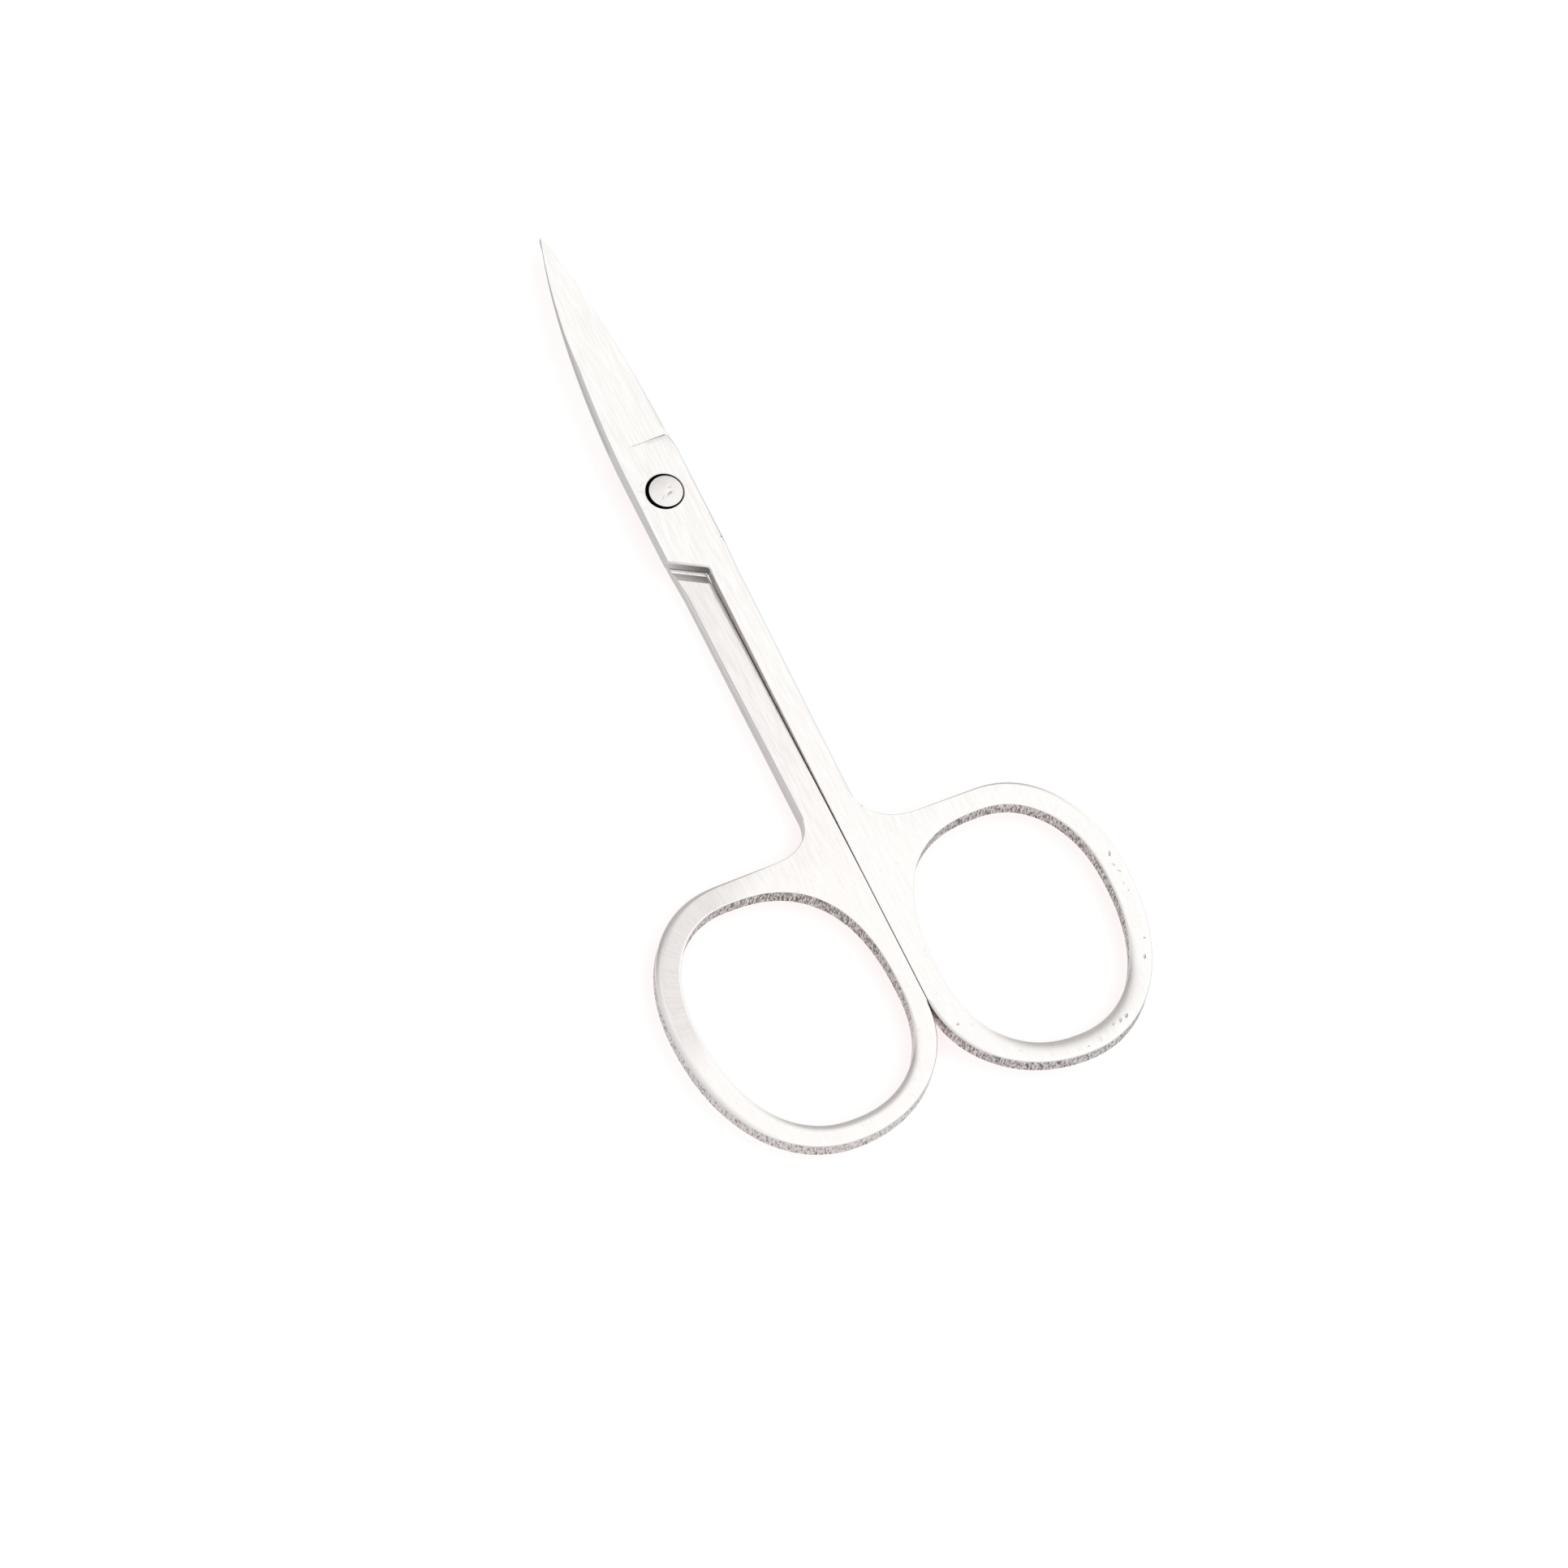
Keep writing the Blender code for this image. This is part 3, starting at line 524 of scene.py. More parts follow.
def parting_rims(h):
    """Straight side that lies along the other half, up to the heel."""
    edge = square_break(h.parting_chamfer)
    wall = h.parting - h.parting_gap / 2
    heights = (-h.bow_leaves_parting, -h.taper_start)
    return plain_rims([Vector((wall, height)) for height in heights], edge, edge)


def outline_rims(h):
    """Whole outer outline of a half, counter-clockwise seen from its inside face."""
    tip = Vector((h.tip_shift, h.blade_reach))
    blade = heel_rims(h) + spine_rims(h, tip) + edge_rims(h, tip)
    return blade + shank_rims(h) + bow_outline_rims(h) + parting_rims(h)


def hole_rims(h):
    """Finger hole, clockwise, so that the steel is on the same hand as on the outer outline."""
    top = -h.bow_top - h.ring_top
    bottom = -h.bow_bottom + h.ring_bottom
    side = h.ring_side - h.bow_side
    inner = -h.ring_inner - h.parting_gap / 2
    high, low, flat, wide = h.hole_highest, h.hole_lowest, h.hole_flattest, h.hole_widest
    quarters = (
        (-high, -flat, (0.0, top + flat), (inner + high, 0.0), h.root_squareness),
        (-low, -flat, (inner + low, 0.0), (0.0, bottom + flat), h.hole_squareness),
        (-low, -wide, (0.0, bottom + wide), (side + low, 0.0), h.hole_squareness),
        (-high, -wide, (side + high, 0.0), (0.0, top + wide), h.hole_squareness),
    )
    points = []
    for across, along, first, second, squareness in quarters:
        centre = Vector((h.parting + across, along))
        points += oval_quarter(centre, Vector(first), Vector(second), squareness, h.quarter_steps)
    return hole_bow_rims(h, points)


# Solid of a half


def inward_normals(rims):
    """Unit vectors into the steel, square to the outline at each point."""
    normals = []
    for index, rim in enumerate(rims):
        before = rims[index - 1]
        after = rims[(index + 1) % len(rims)]
        along = Vector((after.u - before.u, after.y - before.y)).normalized()
        normals.append(Vector((-along.y, along.x)))
    return normals


def break_profile(edge, rounded, steps):
    """Steps (inset, rise) of a broken edge, from the face to the wall."""
    width, height = edge
    profile = []
    for step in range(steps + 1):
        t = step / steps
        angle = t * math.pi / 2
        inset = mix(1 - t, 1 - math.sin(angle), rounded)
        rise = mix(t, 1 - math.cos(angle), rounded)
        profile.append((width * inset, height * rise))
    return profile


def rim_columns(h, rims):
    """For each rim, its points from the outside face, down the wall, to the inside face."""
    columns = []
    for rim, normal in zip(rims, inward_normals(rims)):
        outside = break_profile(rim.outside, rim.rounded, h.break_steps)
        inside = break_profile(rim.inside, rim.rounded, h.break_steps)
        heights = [(inset, rise) for inset, rise in outside]
        low = outside[-1][1]
        high = h.bow_thickness - inside[-1][1]
        heights += [(0.0, mix(low, high, step / h.wall_steps)) for step in range(1, h.wall_steps)]
        heights += [(inset, h.bow_thickness - rise) for inset, rise in reversed(inside)]
        columns.append([
            Vector((rim.u + normal.x * inset, rim.y + normal.y * inset, z)) for inset, z in heights
        ])
    return columns


def add_wall(bm, h, rims):
    """Skin the broken edges and the wall along an outline; return its outside and inside edges."""
    columns = [[bm.verts.new(place) for place in column] for column in rim_columns(h, rims)]
    outside_edges = []
    inside_edges = []
    for index, column in enumerate(columns):
        following = columns[(index + 1) % len(columns)]
        for level in range(len(column) - 1):
            bm.faces.new((column[level], following[level], following[level + 1], column[level + 1]))
        outside_edges.append(bm.edges.get((column[0], following[0])))
        inside_edges.append(bm.edges.get((column[-1], following[-1])))
    return outside_edges, inside_edges


def ramp_line(h, behind):
    """Point and direction of a line a distance behind the other half's heel."""
    corner = Vector((h.parting + h.parting_gap / 2, -h.heel_at_parting - behind, 0.0))
    spine = Vector((-h.spine_offset, -h.heel_at_spine - behind, 0.0))
    return corner, (spine - corner).normalized()


def split_along(bm, point, direction):
    """Add edges where an upright plane along a direction crosses the blank."""
    normal = Vector((-direction.y, direction.x, 0.0))
    geometry = bm.verts[:] + bm.edges[:] + bm.faces[:]
    bmesh.ops.bisect_plane(bm, geom=geometry, plane_co=point, plane_no=normal, dist=SAME_PLACE)


def taper_share(h, place):
    """0 at the neck, 1 where the shank joins the bow."""
    part = (-place.y - h.taper_start) / (h.taper_end - h.taper_start)
    return min(max(part, 0.0), 1.0)


def thickness_at(h, place):
    """Thickness of the steel: thin lap and blade, ramp, neck, then taper up to the bow."""
    point, direction = ramp_line(h, h.heel_to_ramp)
    past_foot = point.y + (place.x - point.x) * direction.y / direction.x - place.y
    if past_foot <= -h.heel_to_ramp:
        return h.lap_thickness
    groove = h.lap_thickness - h.groove_depth
    if past_foot <= 0:
        return mix(groove, h.lap_thickness, -past_foot / h.heel_to_ramp)
    if past_foot < h.ramp_run:
        return mix(groove, h.neck_thickness, past_foot / h.ramp_run)
    return mix(h.neck_thickness, h.bow_thickness, taper_share(h, place))


def press_levels(bm, h):
    """Press the inside face down to each place's thickness, and crank the shank."""
    for behind in (0.0, h.heel_to_ramp, h.heel_to_ramp + h.ramp_run):
        split_along(bm, *ramp_line(h, behind))
    for distance in (h.taper_start, h.taper_end):
        split_along(bm, Vector((0.0, -distance, 0.0)), Vector((1.0, 0.0, 0.0)))
    for vert in bm.verts:
        if vert.co.z > h.lap_thickness + SAME_PLACE:
            thickness = thickness_at(h, vert.co)
            vert.co.z = max(vert.co.z - h.bow_thickness + thickness, min(thickness, h.lap_thickness))
        vert.co.z += h.crank * taper_share(h, vert.co)


def half_blank(h):
    """Stamped and pressed half, before it is ground and pierced."""
    bm = bmesh.new()
    outer_outside, outer_inside = add_wall(bm, h, outline_rims(h))
    hole_outside, hole_inside = add_wall(bm, h, hole_rims(h))
    bmesh.ops.triangle_fill(bm, edges=outer_outside + hole_outside, use_beauty=True)
    bmesh.ops.triangle_fill(bm, edges=outer_inside + hole_inside, use_beauty=True)
    bmesh.ops.remove_doubles(bm, verts=bm.verts[:], dist=SAME_PLACE)
    press_levels(bm, h)
    bmesh.ops.remove_doubles(bm, verts=bm.verts[:], dist=SAME_PLACE)
    bmesh.ops.triangulate(bm, faces=bm.faces[:])
    bmesh.ops.dissolve_degenerate(bm, dist=SAME_PLACE, edges=bm.edges[:])
    bmesh.ops.recalc_face_normals(bm, faces=bm.faces[:])
    return bm


# Tools that cut a half


def guide(name, bm):
    """A cutting shape."""
    bmesh.ops.recalc_face_normals(bm, faces=bm.faces[:])
    mesh = bpy.data.meshes.new(name)
    bm.to_mesh(mesh)
    bm.free()
    return fresh_object(name, mesh)


def grind_slopes(h):
    """Slopes of the ground plane, toward the edge and toward the tip."""
    across = (h.lap_thickness - h.edge_left) / (h.grind_line + h.edge_offset)
    at_tip = h.lap_thickness - h.tip_left
    along = (at_tip - across * h.grind_line) / (h.blade_reach - h.plunge_line)
    return across, along


def grind_height(h, u, y):
    """Height of the ground plane over the outside face at one place of the blade."""
    across, along = grind_slopes(h)
    return across * (h.grind_line - u) + along * (y - h.plunge_line)


def grind_cutter(h):
    """What the wheel takes off the outside of the blade.

    It is a flat that ends in a step, and the lap's face is rolled off toward the step's deep side.
    """
    margin = 2 * h.spine_offset
    stations = []
    for step in range(h.roll_steps):
        part = step / h.roll_steps
        sunk = h.roll_depth * part * part
        stations.append((h.plunge_step - h.plunge_roll * (1 - part), sunk, sunk))
    for step in range(h.break_steps + 1):
        angle = math.pi / 2 * step / h.break_steps
        y = h.plunge_step + h.plunge_break * math.sin(angle)
        deeper = h.break_depth * (1 - math.cos(angle))
        stations.append((y, h.roll_depth + deeper, h.roll_depth))
    stations.append((h.plunge_step + h.plunge_break + JUST_BEYOND, 1.0, 0.0))
    stations.append((h.blade_reach + margin, 1.0, 0.0))
    bm = bmesh.new()
    rows = []
    for y, depth, lifted in stations:
        right = grind_height(h, margin, y) * depth - h.roll_lift * lifted
        left = grind_height(h, -margin, y) * depth - h.roll_lift * lifted
        places = ((-margin, y, -margin), (margin, y, -margin), (margin, y, right), (-margin, y, left))
        rows.append([bm.verts.new(place) for place in places])
    for row, following in zip(rows, rows[1:]):
        for index in range(4):
            after = (index + 1) % 4
            bm.faces.new((row[index], row[after], following[after], following[index]))
    bm.faces.new(rows[0])
    bm.faces.new(rows[-1])
    return guide("grind", bm)


def step_edge_cutter(h):
    """What breaks the edge of the plunge step: a narrow bevel that fades out at its shallow end."""
    margin = 2 * h.spine_offset
    fade = h.grind_line - h.step_edge_fade
    bm = bmesh.new()
    stations = (
        (h.plunge_step - h.step_edge_width, 0.0),
        (h.plunge_step, h.step_edge_depth),
        (h.plunge_step + h.plunge_break, h.step_edge_depth),
    )
    for y, sunk in stations:
        top = ((-margin, -margin), (h.grind_line, -margin))
        bevel = ((-margin, sunk), (fade, sunk), (h.grind_line, 0.0))
        for u, z in top + bevel:
            bm.verts.new((u, y, z))
    bmesh.ops.convex_hull(bm, input=bm.verts)
    return guide("step_edge", bm)


def turned(profile, segments):
    """Solid of revolution about z from (radius, height) points that start and end on the axis."""
    bm = bmesh.new()
    verts = [bm.verts.new((radius, 0.0, height)) for radius, height in profile]
    edges = [bm.edges.new(pair) for pair in zip(verts, verts[1:])]
    bmesh.ops.spin(bm, geom=verts + edges, cent=(0, 0, 0), axis=(0, 0, 1), angle=2 * math.pi,
                   steps=segments, use_merge=True)
    bmesh.ops.remove_doubles(bm, verts=bm.verts[:], dist=SAME_PLACE)
    bmesh.ops.recalc_face_normals(bm, faces=bm.faces[:])
    return bm


def bore_cutter(h):
    """Hole for the pin, right through the lap."""
    radius = h.pin_diameter / 2 + h.pin_clearance
    beyond = 2 * h.lap_thickness
    profile = [(0.0, -beyond), (radius, -beyond), (radius, beyond), (0.0, beyond)]
    return guide("bore", turned(profile, h.round_segments))


def head_recess_cutter(h):
    """Round recess for the rivet's head, a little off centre, with its burr taken off."""
    radius = h.recess_diameter / 2
    depth = h.head_height + h.seat_clearance
    wide = radius + h.recess_lip + depth
    profile = [(0.0, -depth), (wide, -depth), (radius, h.recess_lip), (radius, depth), (0.0, depth)]
    cutter = guide("recess", turned(profile, h.round_segments))
    cutter.location = (h.recess_offset, 0.0, 0.0)
    return cutter


def tail_seat_cutter(h):
    """Countersink for the rivet's spread tail, in the outside face."""
    pin = h.pin_diameter / 2 + h.pin_clearance
    tail = h.tail_diameter / 2 + h.pin_clearance
    below = h.tail_height
    wide = tail + (tail - pin)
    profile = [(0.0, -below), (wide, -below), (pin, below), (0.0, below)]
    return guide("seat", turned(profile, h.round_segments))


# A mark's scoop is a ball stretched to the mark's size and a little over, and lifted so that it sinks in
# by about the mark's depth
BALL_SEGMENTS = 14
BALL_RINGS = 9
BALL_RADIUS = 1.15
BALL_DEPTHS = 2.0


def mark_cutter(h, marks):
    """Shallow scoops for the dents and pits in the face that is on top."""
    bm = bmesh.new()
    for mark in marks:
        place = Vector((h.side * mark.x * MM, mark.y * MM, 0.0))
        top = h.crank * taper_share(h, place) if h.side < 0 else thickness_at(h, place)
        half_depth = BALL_DEPTHS * mark.deep * MM
        lift = half_depth - mark.deep * MM
        place.z = top + (lift if h.side > 0 else -lift)
        turned_by = Matrix.Rotation(math.radians(mark.turn) * h.side, 4, "Z")
        stretch = Matrix.Diagonal((mark.long * MM / 2, mark.wide * MM / 2, half_depth, 1.0))
        matrix = Matrix.Translation(place) @ turned_by @ stretch
        bmesh.ops.create_uvsphere(bm, u_segments=BALL_SEGMENTS, v_segments=BALL_RINGS,
                                  radius=BALL_RADIUS, matrix=matrix)
    return guide("marks", bm)


def cut_mesh(blank, cutters, name):
    """Mesh of a blank with each cutter's shape taken out."""
    owner = guide(name, blank)
    for cutter in cutters:
        modifier = owner.modifiers.new(cutter.name, "BOOLEAN")
        modifier.operation = "DIFFERENCE"
        modifier.solver = "EXACT"
        modifier.object = cutter
    graph = bpy.context.evaluated_depsgraph_get()
    mesh = bpy.data.meshes.new_from_object(owner.evaluated_get(graph))
    for old in [owner] + cutters:
        bpy.data.objects.remove(old, do_unlink=True)
    return mesh


# Finish of the mesh: what the materials read, creases and joined flats


# How dark the walls are painted: 0 for ground steel, 1 for steel left as it was sheared, dark both for its
# dull tearing and as painted shade
BACK_DULL_AND_SHADE = 0.22
HEEL_DULL_AND_SHADE = 0.82
GROUND_DULL_AND_SHADE = 0.03
PARTING_DULL_AND_SHADE = 0.20
ROOT_DULL_AND_SHADE = 0.72

# Where one finish goes over into the next: beside the parting line, above and below the bow's upper
# side, and across the ring, as the distance from the hole's middle over half the hole's width
PARTING_REACH = 0.3 * MM
HEEL_REACH = 1.0 * MM
BOW_BLEND = 1.5 * MM
SPECKLE_BEFORE = 0.5 * MM
RING_RANGE = (1.08, 1.22)

# Bends between faces, how level a face of the lap is, and how much larger faces count in the shading
SHARP_BEND = math.radians(33.0)
SLIGHT_BEND = math.radians(4.0)
FLAT_BEND = math.radians(0.02)
GROUND_BEND = math.radians(1.0)
LEAST_LEVEL = 0.93
RAMP_LEVEL = 0.98
FLATS_WEIGHT = 50


def inner_wall_share(h, place):
    """How dull a bow's walls are and how much shade is painted on them: most at the hole's root, less on
    its far side and outside.
    """
    half_width = h.bow_side - h.hole_lowest - h.ring_side
    outer = smooth((place.xy - hole_middle(h)).length / half_width, *RING_RANGE)
    hole = mix(ROOT_DULL_AND_SHADE, h.hole_wall, far_round_the_bow(h, place.xy))
    return mix(hole, h.outer_wall, outer)


def dull_and_shade_at(h, place):
    """How dull a wall is at a place, and how much shade is painted on it."""
    if place.y > h.plunge_line:
        return BACK_DULL_AND_SHADE
    if place.y > -h.heel_at_parting - h.heel_corner:
        on_heel = place.y < -h.heel_at_spine + h.heel_chamfer
        between = h.parting - HEEL_REACH < place.x < h.spine_offset - h.heel_chamfer
        return HEEL_DULL_AND_SHADE if on_heel and between else GROUND_DULL_AND_SHADE
    if abs(place.x - h.parting) < PARTING_REACH:
        return PARTING_DULL_AND_SHADE
    on_bow = smooth(-place.y, h.bow_top - BOW_BLEND, h.bow_top + BOW_BLEND)
    return mix(GROUND_DULL_AND_SHADE, 1.0, inner_wall_share(h, place) * on_bow)


def speckle_at(h, place):
    """How uneven a wall is: torn by the punch round the bows, smooth where it was ground."""
    return smooth(-place.y, h.bow_top - SPECKLE_BEFORE, h.bow_top + BOW_BLEND)


# Side of the lower ring that is ground across and painted darker as shade: its direction from the hole's
# middle, how near to it the finish starts and is full, and how far round from the root
CROSSED_AND_SHADED_TOWARD = Vector((-0.68, 0.73))
CROSSED_AND_SHADED_RANGE = (0.34, 0.77)
CROSSED_AND_SHADED_ROUND = (0.0, 0.3)


def crossed_and_shaded_at(h, place):
    """How far a face is ground across the ring and painted with shade: on the lower bow's outer and upper
    sides.
    """
    if h.side < 0:
        return 0.0
    outward = (place.xy - hole_middle(h)).normalized()
    toward = smooth(outward.dot(CROSSED_AND_SHADED_TOWARD), *CROSSED_AND_SHADED_RANGE)
    return toward * smooth(far_round_the_bow(h, place.xy), *CROSSED_AND_SHADED_ROUND)


# How far out a dent is painted dark as shade, over its size, and the depth in millimetres from which that
# painted shade is darkest
MARK_MIDDLE = 0.46
DARKEST_DEPTH = 0.08


def from_mark(mark, x, y):
    """How far a place, in millimetres, lies from a mark's middle, over the mark's length and width."""
    away = Matrix.Rotation(-math.radians(mark.turn), 2) @ Vector((x - mark.x, y - mark.y))
    return math.hypot(away.x / mark.long, away.y / mark.wide)


def dent_shade_at(h, place, marks):
    """How dark the painted shade is down in a dent or pit, and 0 outside them."""
    for mark in marks:
        if from_mark(mark, h.side * place.x / MM, place.y / MM) < MARK_MIDDLE:
            return min(mark.deep / DARKEST_DEPTH, 1.0)
    return 0.0


def add_finish_data(mesh, h, marks):
    """Keep on each point how its walls and faces are finished and where shade is painted on them, and which
    dents it is in.
    """
    finishes = {
        "unpolished": lambda place: dull_and_shade_at(h, place),
        "speckle": lambda place: speckle_at(h, place),
        "crossed": lambda place: crossed_and_shaded_at(h, place),
        "marked": lambda place: dent_shade_at(h, place, marks),
    }
    for name, finish_at in finishes.items():
        data = mesh.attributes.new(name, "FLOAT", "POINT").data
        for vert in mesh.vertices:
            data[vert.index].value = finish_at(vert.co)
    data = mesh.attributes.new("stamped", "FLOAT", "FACE").data
    for face in mesh.polygons:
        beside_ramp = -h.taper_start < face.center.y < -h.heel_at_spine - h.heel_to_ramp
        on_ramp = beside_ramp and LEAST_LEVEL < face.normal.z < RAMP_LEVEL
        data[face.index].value = 1.0 if on_ramp else 0.0


def clean_flats(mesh):
    """Join coplanar triangles, so that flats shade as flats."""
    bm = bmesh.new()
    bm.from_mesh(mesh)
    bmesh.ops.remove_doubles(bm, verts=bm.verts[:], dist=SAME_PLACE)
    bmesh.ops.dissolve_limit(bm, angle_limit=FLAT_BEND, verts=bm.verts[:], edges=bm.edges[:],
                             use_dissolve_boundaries=False)
    bm.to_mesh(mesh)
    bm.free()


def crease(mesh, is_ground, bends_above):
    """Smooth faces with sharp creases, also round the ground flat and where the lap's level changes."""
    bm = bmesh.new()
    bm.from_mesh(mesh)
    bm.normal_update()
    for face in bm.faces:
        face.smooth = True
    for edge in bm.edges:
        if len(edge.link_faces) != 2:
            continue
        angle = edge.calc_face_angle()
        flats = [is_ground(face) for face in edge.link_faces]
        level = all(abs(face.normal.z) > LEAST_LEVEL for face in edge.link_faces)
        bend = level and min(vert.co.y for vert in edge.verts) > bends_above
        crisp = flats[0] != flats[1] or bend
        edge.smooth = angle < SHARP_BEND and not (crisp and angle > SLIGHT_BEND)
    bm.to_mesh(mesh)
    bm.free()


def over_pivot(height):
    """Move from the pivot's own frame to its place, at a height over the floor."""
    return Matrix.Translation((PIVOT.x, PIVOT.y, height))


def place_piece(name, mesh, matrix, body, node, material):
    """Put a finished mesh where its node is, on its body, and hide the node's own part."""
    mesh.transform(matrix)
    mesh.name = name
    mesh.materials.clear()
    mesh.materials.append(material)
    piece = fresh_object(name, mesh)
    shade = piece.modifiers.new("Flats", "WEIGHTED_NORMAL")
    shade.mode = "FACE_AREA"
    shade.weight = FLATS_WEIGHT
    shade.keep_sharp = True
    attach(piece, body)
    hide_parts(node)


def make_half(h, body, seat_cutter, marks, matrix, material):
    """Build one half, cut it and put it in its place."""
    cutters = [grind_cutter(h), step_edge_cutter(h), seat_cutter(h), bore_cutter(h), mark_cutter(h, marks)]
    mesh = cut_mesh(half_blank(h), cutters, body + "_blank")
    clean_flats(mesh)
    across, along = grind_slopes(h)
    ground_normal = Vector((-across, along, -1.0)).normalized()
    near = math.cos(GROUND_BEND)
    crease(mesh, lambda face: abs(face.normal.dot(ground_normal)) > near, -h.taper_start)
    add_finish_data(mesh, h, marks)
    name = body + "_half"
    place_piece(name + "_ground", mesh, matrix, body, name, material)


# Materials

# Grain of a finish: waves for each millimetre along x, y and z, then the noise's detail and roughness
Grain = namedtuple("Grain", "waves detail roughness")
BRUSHED = Grain((5.0, 0.35, 1.0), 3.0, 0.6)
CLOUDY = Grain((1.3, 1.1, 0.5), 5.0, 0.8)
SPOKES = Grain((0.036, 0.036, 0.0), 3.0, 0.7)
LONG_LINES = Grain((5.0, 0.5, 16.0), 3.0, 0.6)
TEARS = Grain((6.5, 6.5, 1.6), 4.0, 0.75)
HEAD_LINES = Grain((13.0, 1.0, 3.0), 3.0, 0.6)
BLOTS = Grain((2.2, 2.2, 2.2), 4.0, 0.7)

# Levels of the noise between which a finish comes in
LINE_RANGE = (0.32, 0.68)
STAIN_RANGE = (0.55, 0.72)
TEAR_RANGE = (0.30, 0.53)
BLOT_RANGE = (0.55, 0.75)

# How level a face is, from 0 for a wall to 1, where one finish goes over into the next
WALL_RANGE = (0.12, 0.28)
EDGE_SHADE_RANGE = (0.62, 0.84)
CROSSED_AND_SHADED_LEVELS = (0.975, 0.998)
HEAD_SIDE_RANGE = (0.1, 0.3)

# Shares that rise with another value: where they start and what they gain
LINE_SHARE = (0.17, -0.14)
STAIN_SHARE = (0.02, 0.14)
SPOKE_AND_SHADE_SHARE = (0.22, 0.50)
DULL_AND_SHADE_SHARE = (0.75, 0.5)
FACE_RELIEF = (0.10, -0.07)
WALL_RELIEF = (0.15, 0.40)
HEAD_ROUGHNESS = (0.30, 0.12)

# Plain shares, and the tints of the lines against the face
LINE_TINT = (0.64, 0.61, 0.60)
WALL_LINE_SHARE = 0.25
DULL_AND_SHADE_TEARS = 0.12
EDGE_SHADE_SHARE = 0.85
DENT_SHADE_SHARE = 0.50
LINE_ROUGHNESS = 0.08
STAMPED_ROUGHNESS = 0.22
SOOT_AND_SHADE_ROUGHNESS = 0.7
HEAD_LINE_SHARE = 0.25
BLOT_SHARE = 0.12
HEAD_TINT = 0.55
HEAD_RELIEF = 0.15

# Height of the relief, where the soot and painted shade end round the recess, and a centre for a finish
# that a half doesn't have
RELIEF_HEIGHT = 0.02 * MM
SOOT_AND_SHADE_EDGE = (0.002 * MM, 0.012 * MM)
FAR_AWAY = (10.0, 0.0, 0.0)


def node(tree, kind, values=None, **settings):
    """Add a node, with its settings, values and links."""
    made = tree.nodes.new(kind)
    for name, value in settings.items():
        setattr(made, name, value)
    for key, value in (values or {}).items():
        if isinstance(value, bpy.types.NodeSocket):
            tree.links.new(value, made.inputs[key])
        else:
            made.inputs[key].default_value = value
    return made


def maths(tree, operation, first, second=0.0):
    """Result of a sum on two values."""
    return node(tree, "ShaderNodeMath", {0: first, 1: second}, operation=operation).outputs[0]


def times(tree, first, second):
    """Product of two values."""
    return maths(tree, "MULTIPLY", first, second)


def rising(tree, start_and_gain, value):
    """A share that starts at one number and gains another with a value."""
    start, gain = start_and_gain
    return maths(tree, "ADD", start, times(tree, value, gain))


def vector_maths(tree, operation, *values):
    """Node that works on one or two vectors."""
    return node(tree, "ShaderNodeVectorMath", dict(enumerate(values)), operation=operation)


def attribute(tree, name):
    """A value that the mesh keeps on its points or faces."""
    return node(tree, "ShaderNodeAttribute", attribute_name=name).outputs["Fac"]


def facing_up(tree):
    """1 on faces that look straight up, 0 on walls, -1 on faces that look straight down."""
    normal = node(tree, "ShaderNodeNewGeometry").outputs["True Normal"]
    return node(tree, "ShaderNodeSeparateXYZ", {0: normal}).outputs[2]


def ramped(tree, value, low, high, to_low=0.0, to_high=1.0):
    """Soft step of a value between two limits."""
    made = node(tree, "ShaderNodeMapRange", {0: value, 1: low, 2: high, 3: to_low, 4: to_high},
                interpolation_type="SMOOTHSTEP")
    return made.outputs[0]


def blended(tree, factor, first, second):
    """Mix of two colours."""
    return node(tree, "ShaderNodeMix", {0: factor, 6: first, 7: second}, data_type="RGBA").outputs[2]


def mixed(tree, factor, first, second):
    """Mix of two values."""
    return node(tree, "ShaderNodeMix", {0: factor, 2: first, 3: second}, data_type="FLOAT").outputs[0]


def grain(tree, place, kind):
    """Noise of one kind of grain over a place in metres."""
    scaled = vector_maths(tree, "MULTIPLY", place, [waves / MM for waves in kind.waves]).outputs[0]
    values = {"Vector": scaled, "Scale": 1.0, "Detail": kind.detail, "Roughness": kind.roughness}
    return node(tree, "ShaderNodeTexNoise", values).outputs[0]


def opaque(colour_value):
    """A colour with its alpha."""
    return (*colour_value, 1.0)


def new_material(name):
    """Empty node material, its place in the piece and its shader."""
    old = bpy.data.materials.get(name)
    if old is not None:
        bpy.data.materials.remove(old)
    material = bpy.data.materials.new(name)
    material.use_nodes = True
    tree = material.node_tree
    tree.nodes.clear()
    output = node(tree, "ShaderNodeOutputMaterial")
    shader = node(tree, "ShaderNodeBsdfPrincipled")
    tree.links.new(shader.outputs[0], output.inputs[0])
    shader.inputs["Metallic"].default_value = 1.0
    place = node(tree, "ShaderNodeTexCoord").outputs["Object"]
    return material, tree, shader, place


def add_relief(tree, shader, strength, height):
    """Fine relief on a shader."""
    values = {"Strength": strength, "Distance": RELIEF_HEIGHT, "Height": height}
    tree.links.new(node(tree, "ShaderNodeBump", values).outputs[0], shader.inputs["Normal"])


def crossed_and_shaded_share(tree, place, level, centre):
    """How strongly lines show that are ground across the ring, straight out from the hole's middle, over a
    painted shade on that side.
    """
    outward = vector_maths(tree, "SUBTRACT", place, centre).outputs[0]
    outward = vector_maths(tree, "NORMALIZE", outward).outputs[0]
    # Part of the darkening comes even without the lines: painted shade on that side of the ring
    spokes = rising(tree, SPOKE_AND_SHADE_SHARE, grain(tree, outward, SPOKES))
    on_face = times(tree, attribute(tree, "crossed"), ramped(tree, level, *CROSSED_AND_SHADED_LEVELS))
    return times(tree, on_face, spokes)


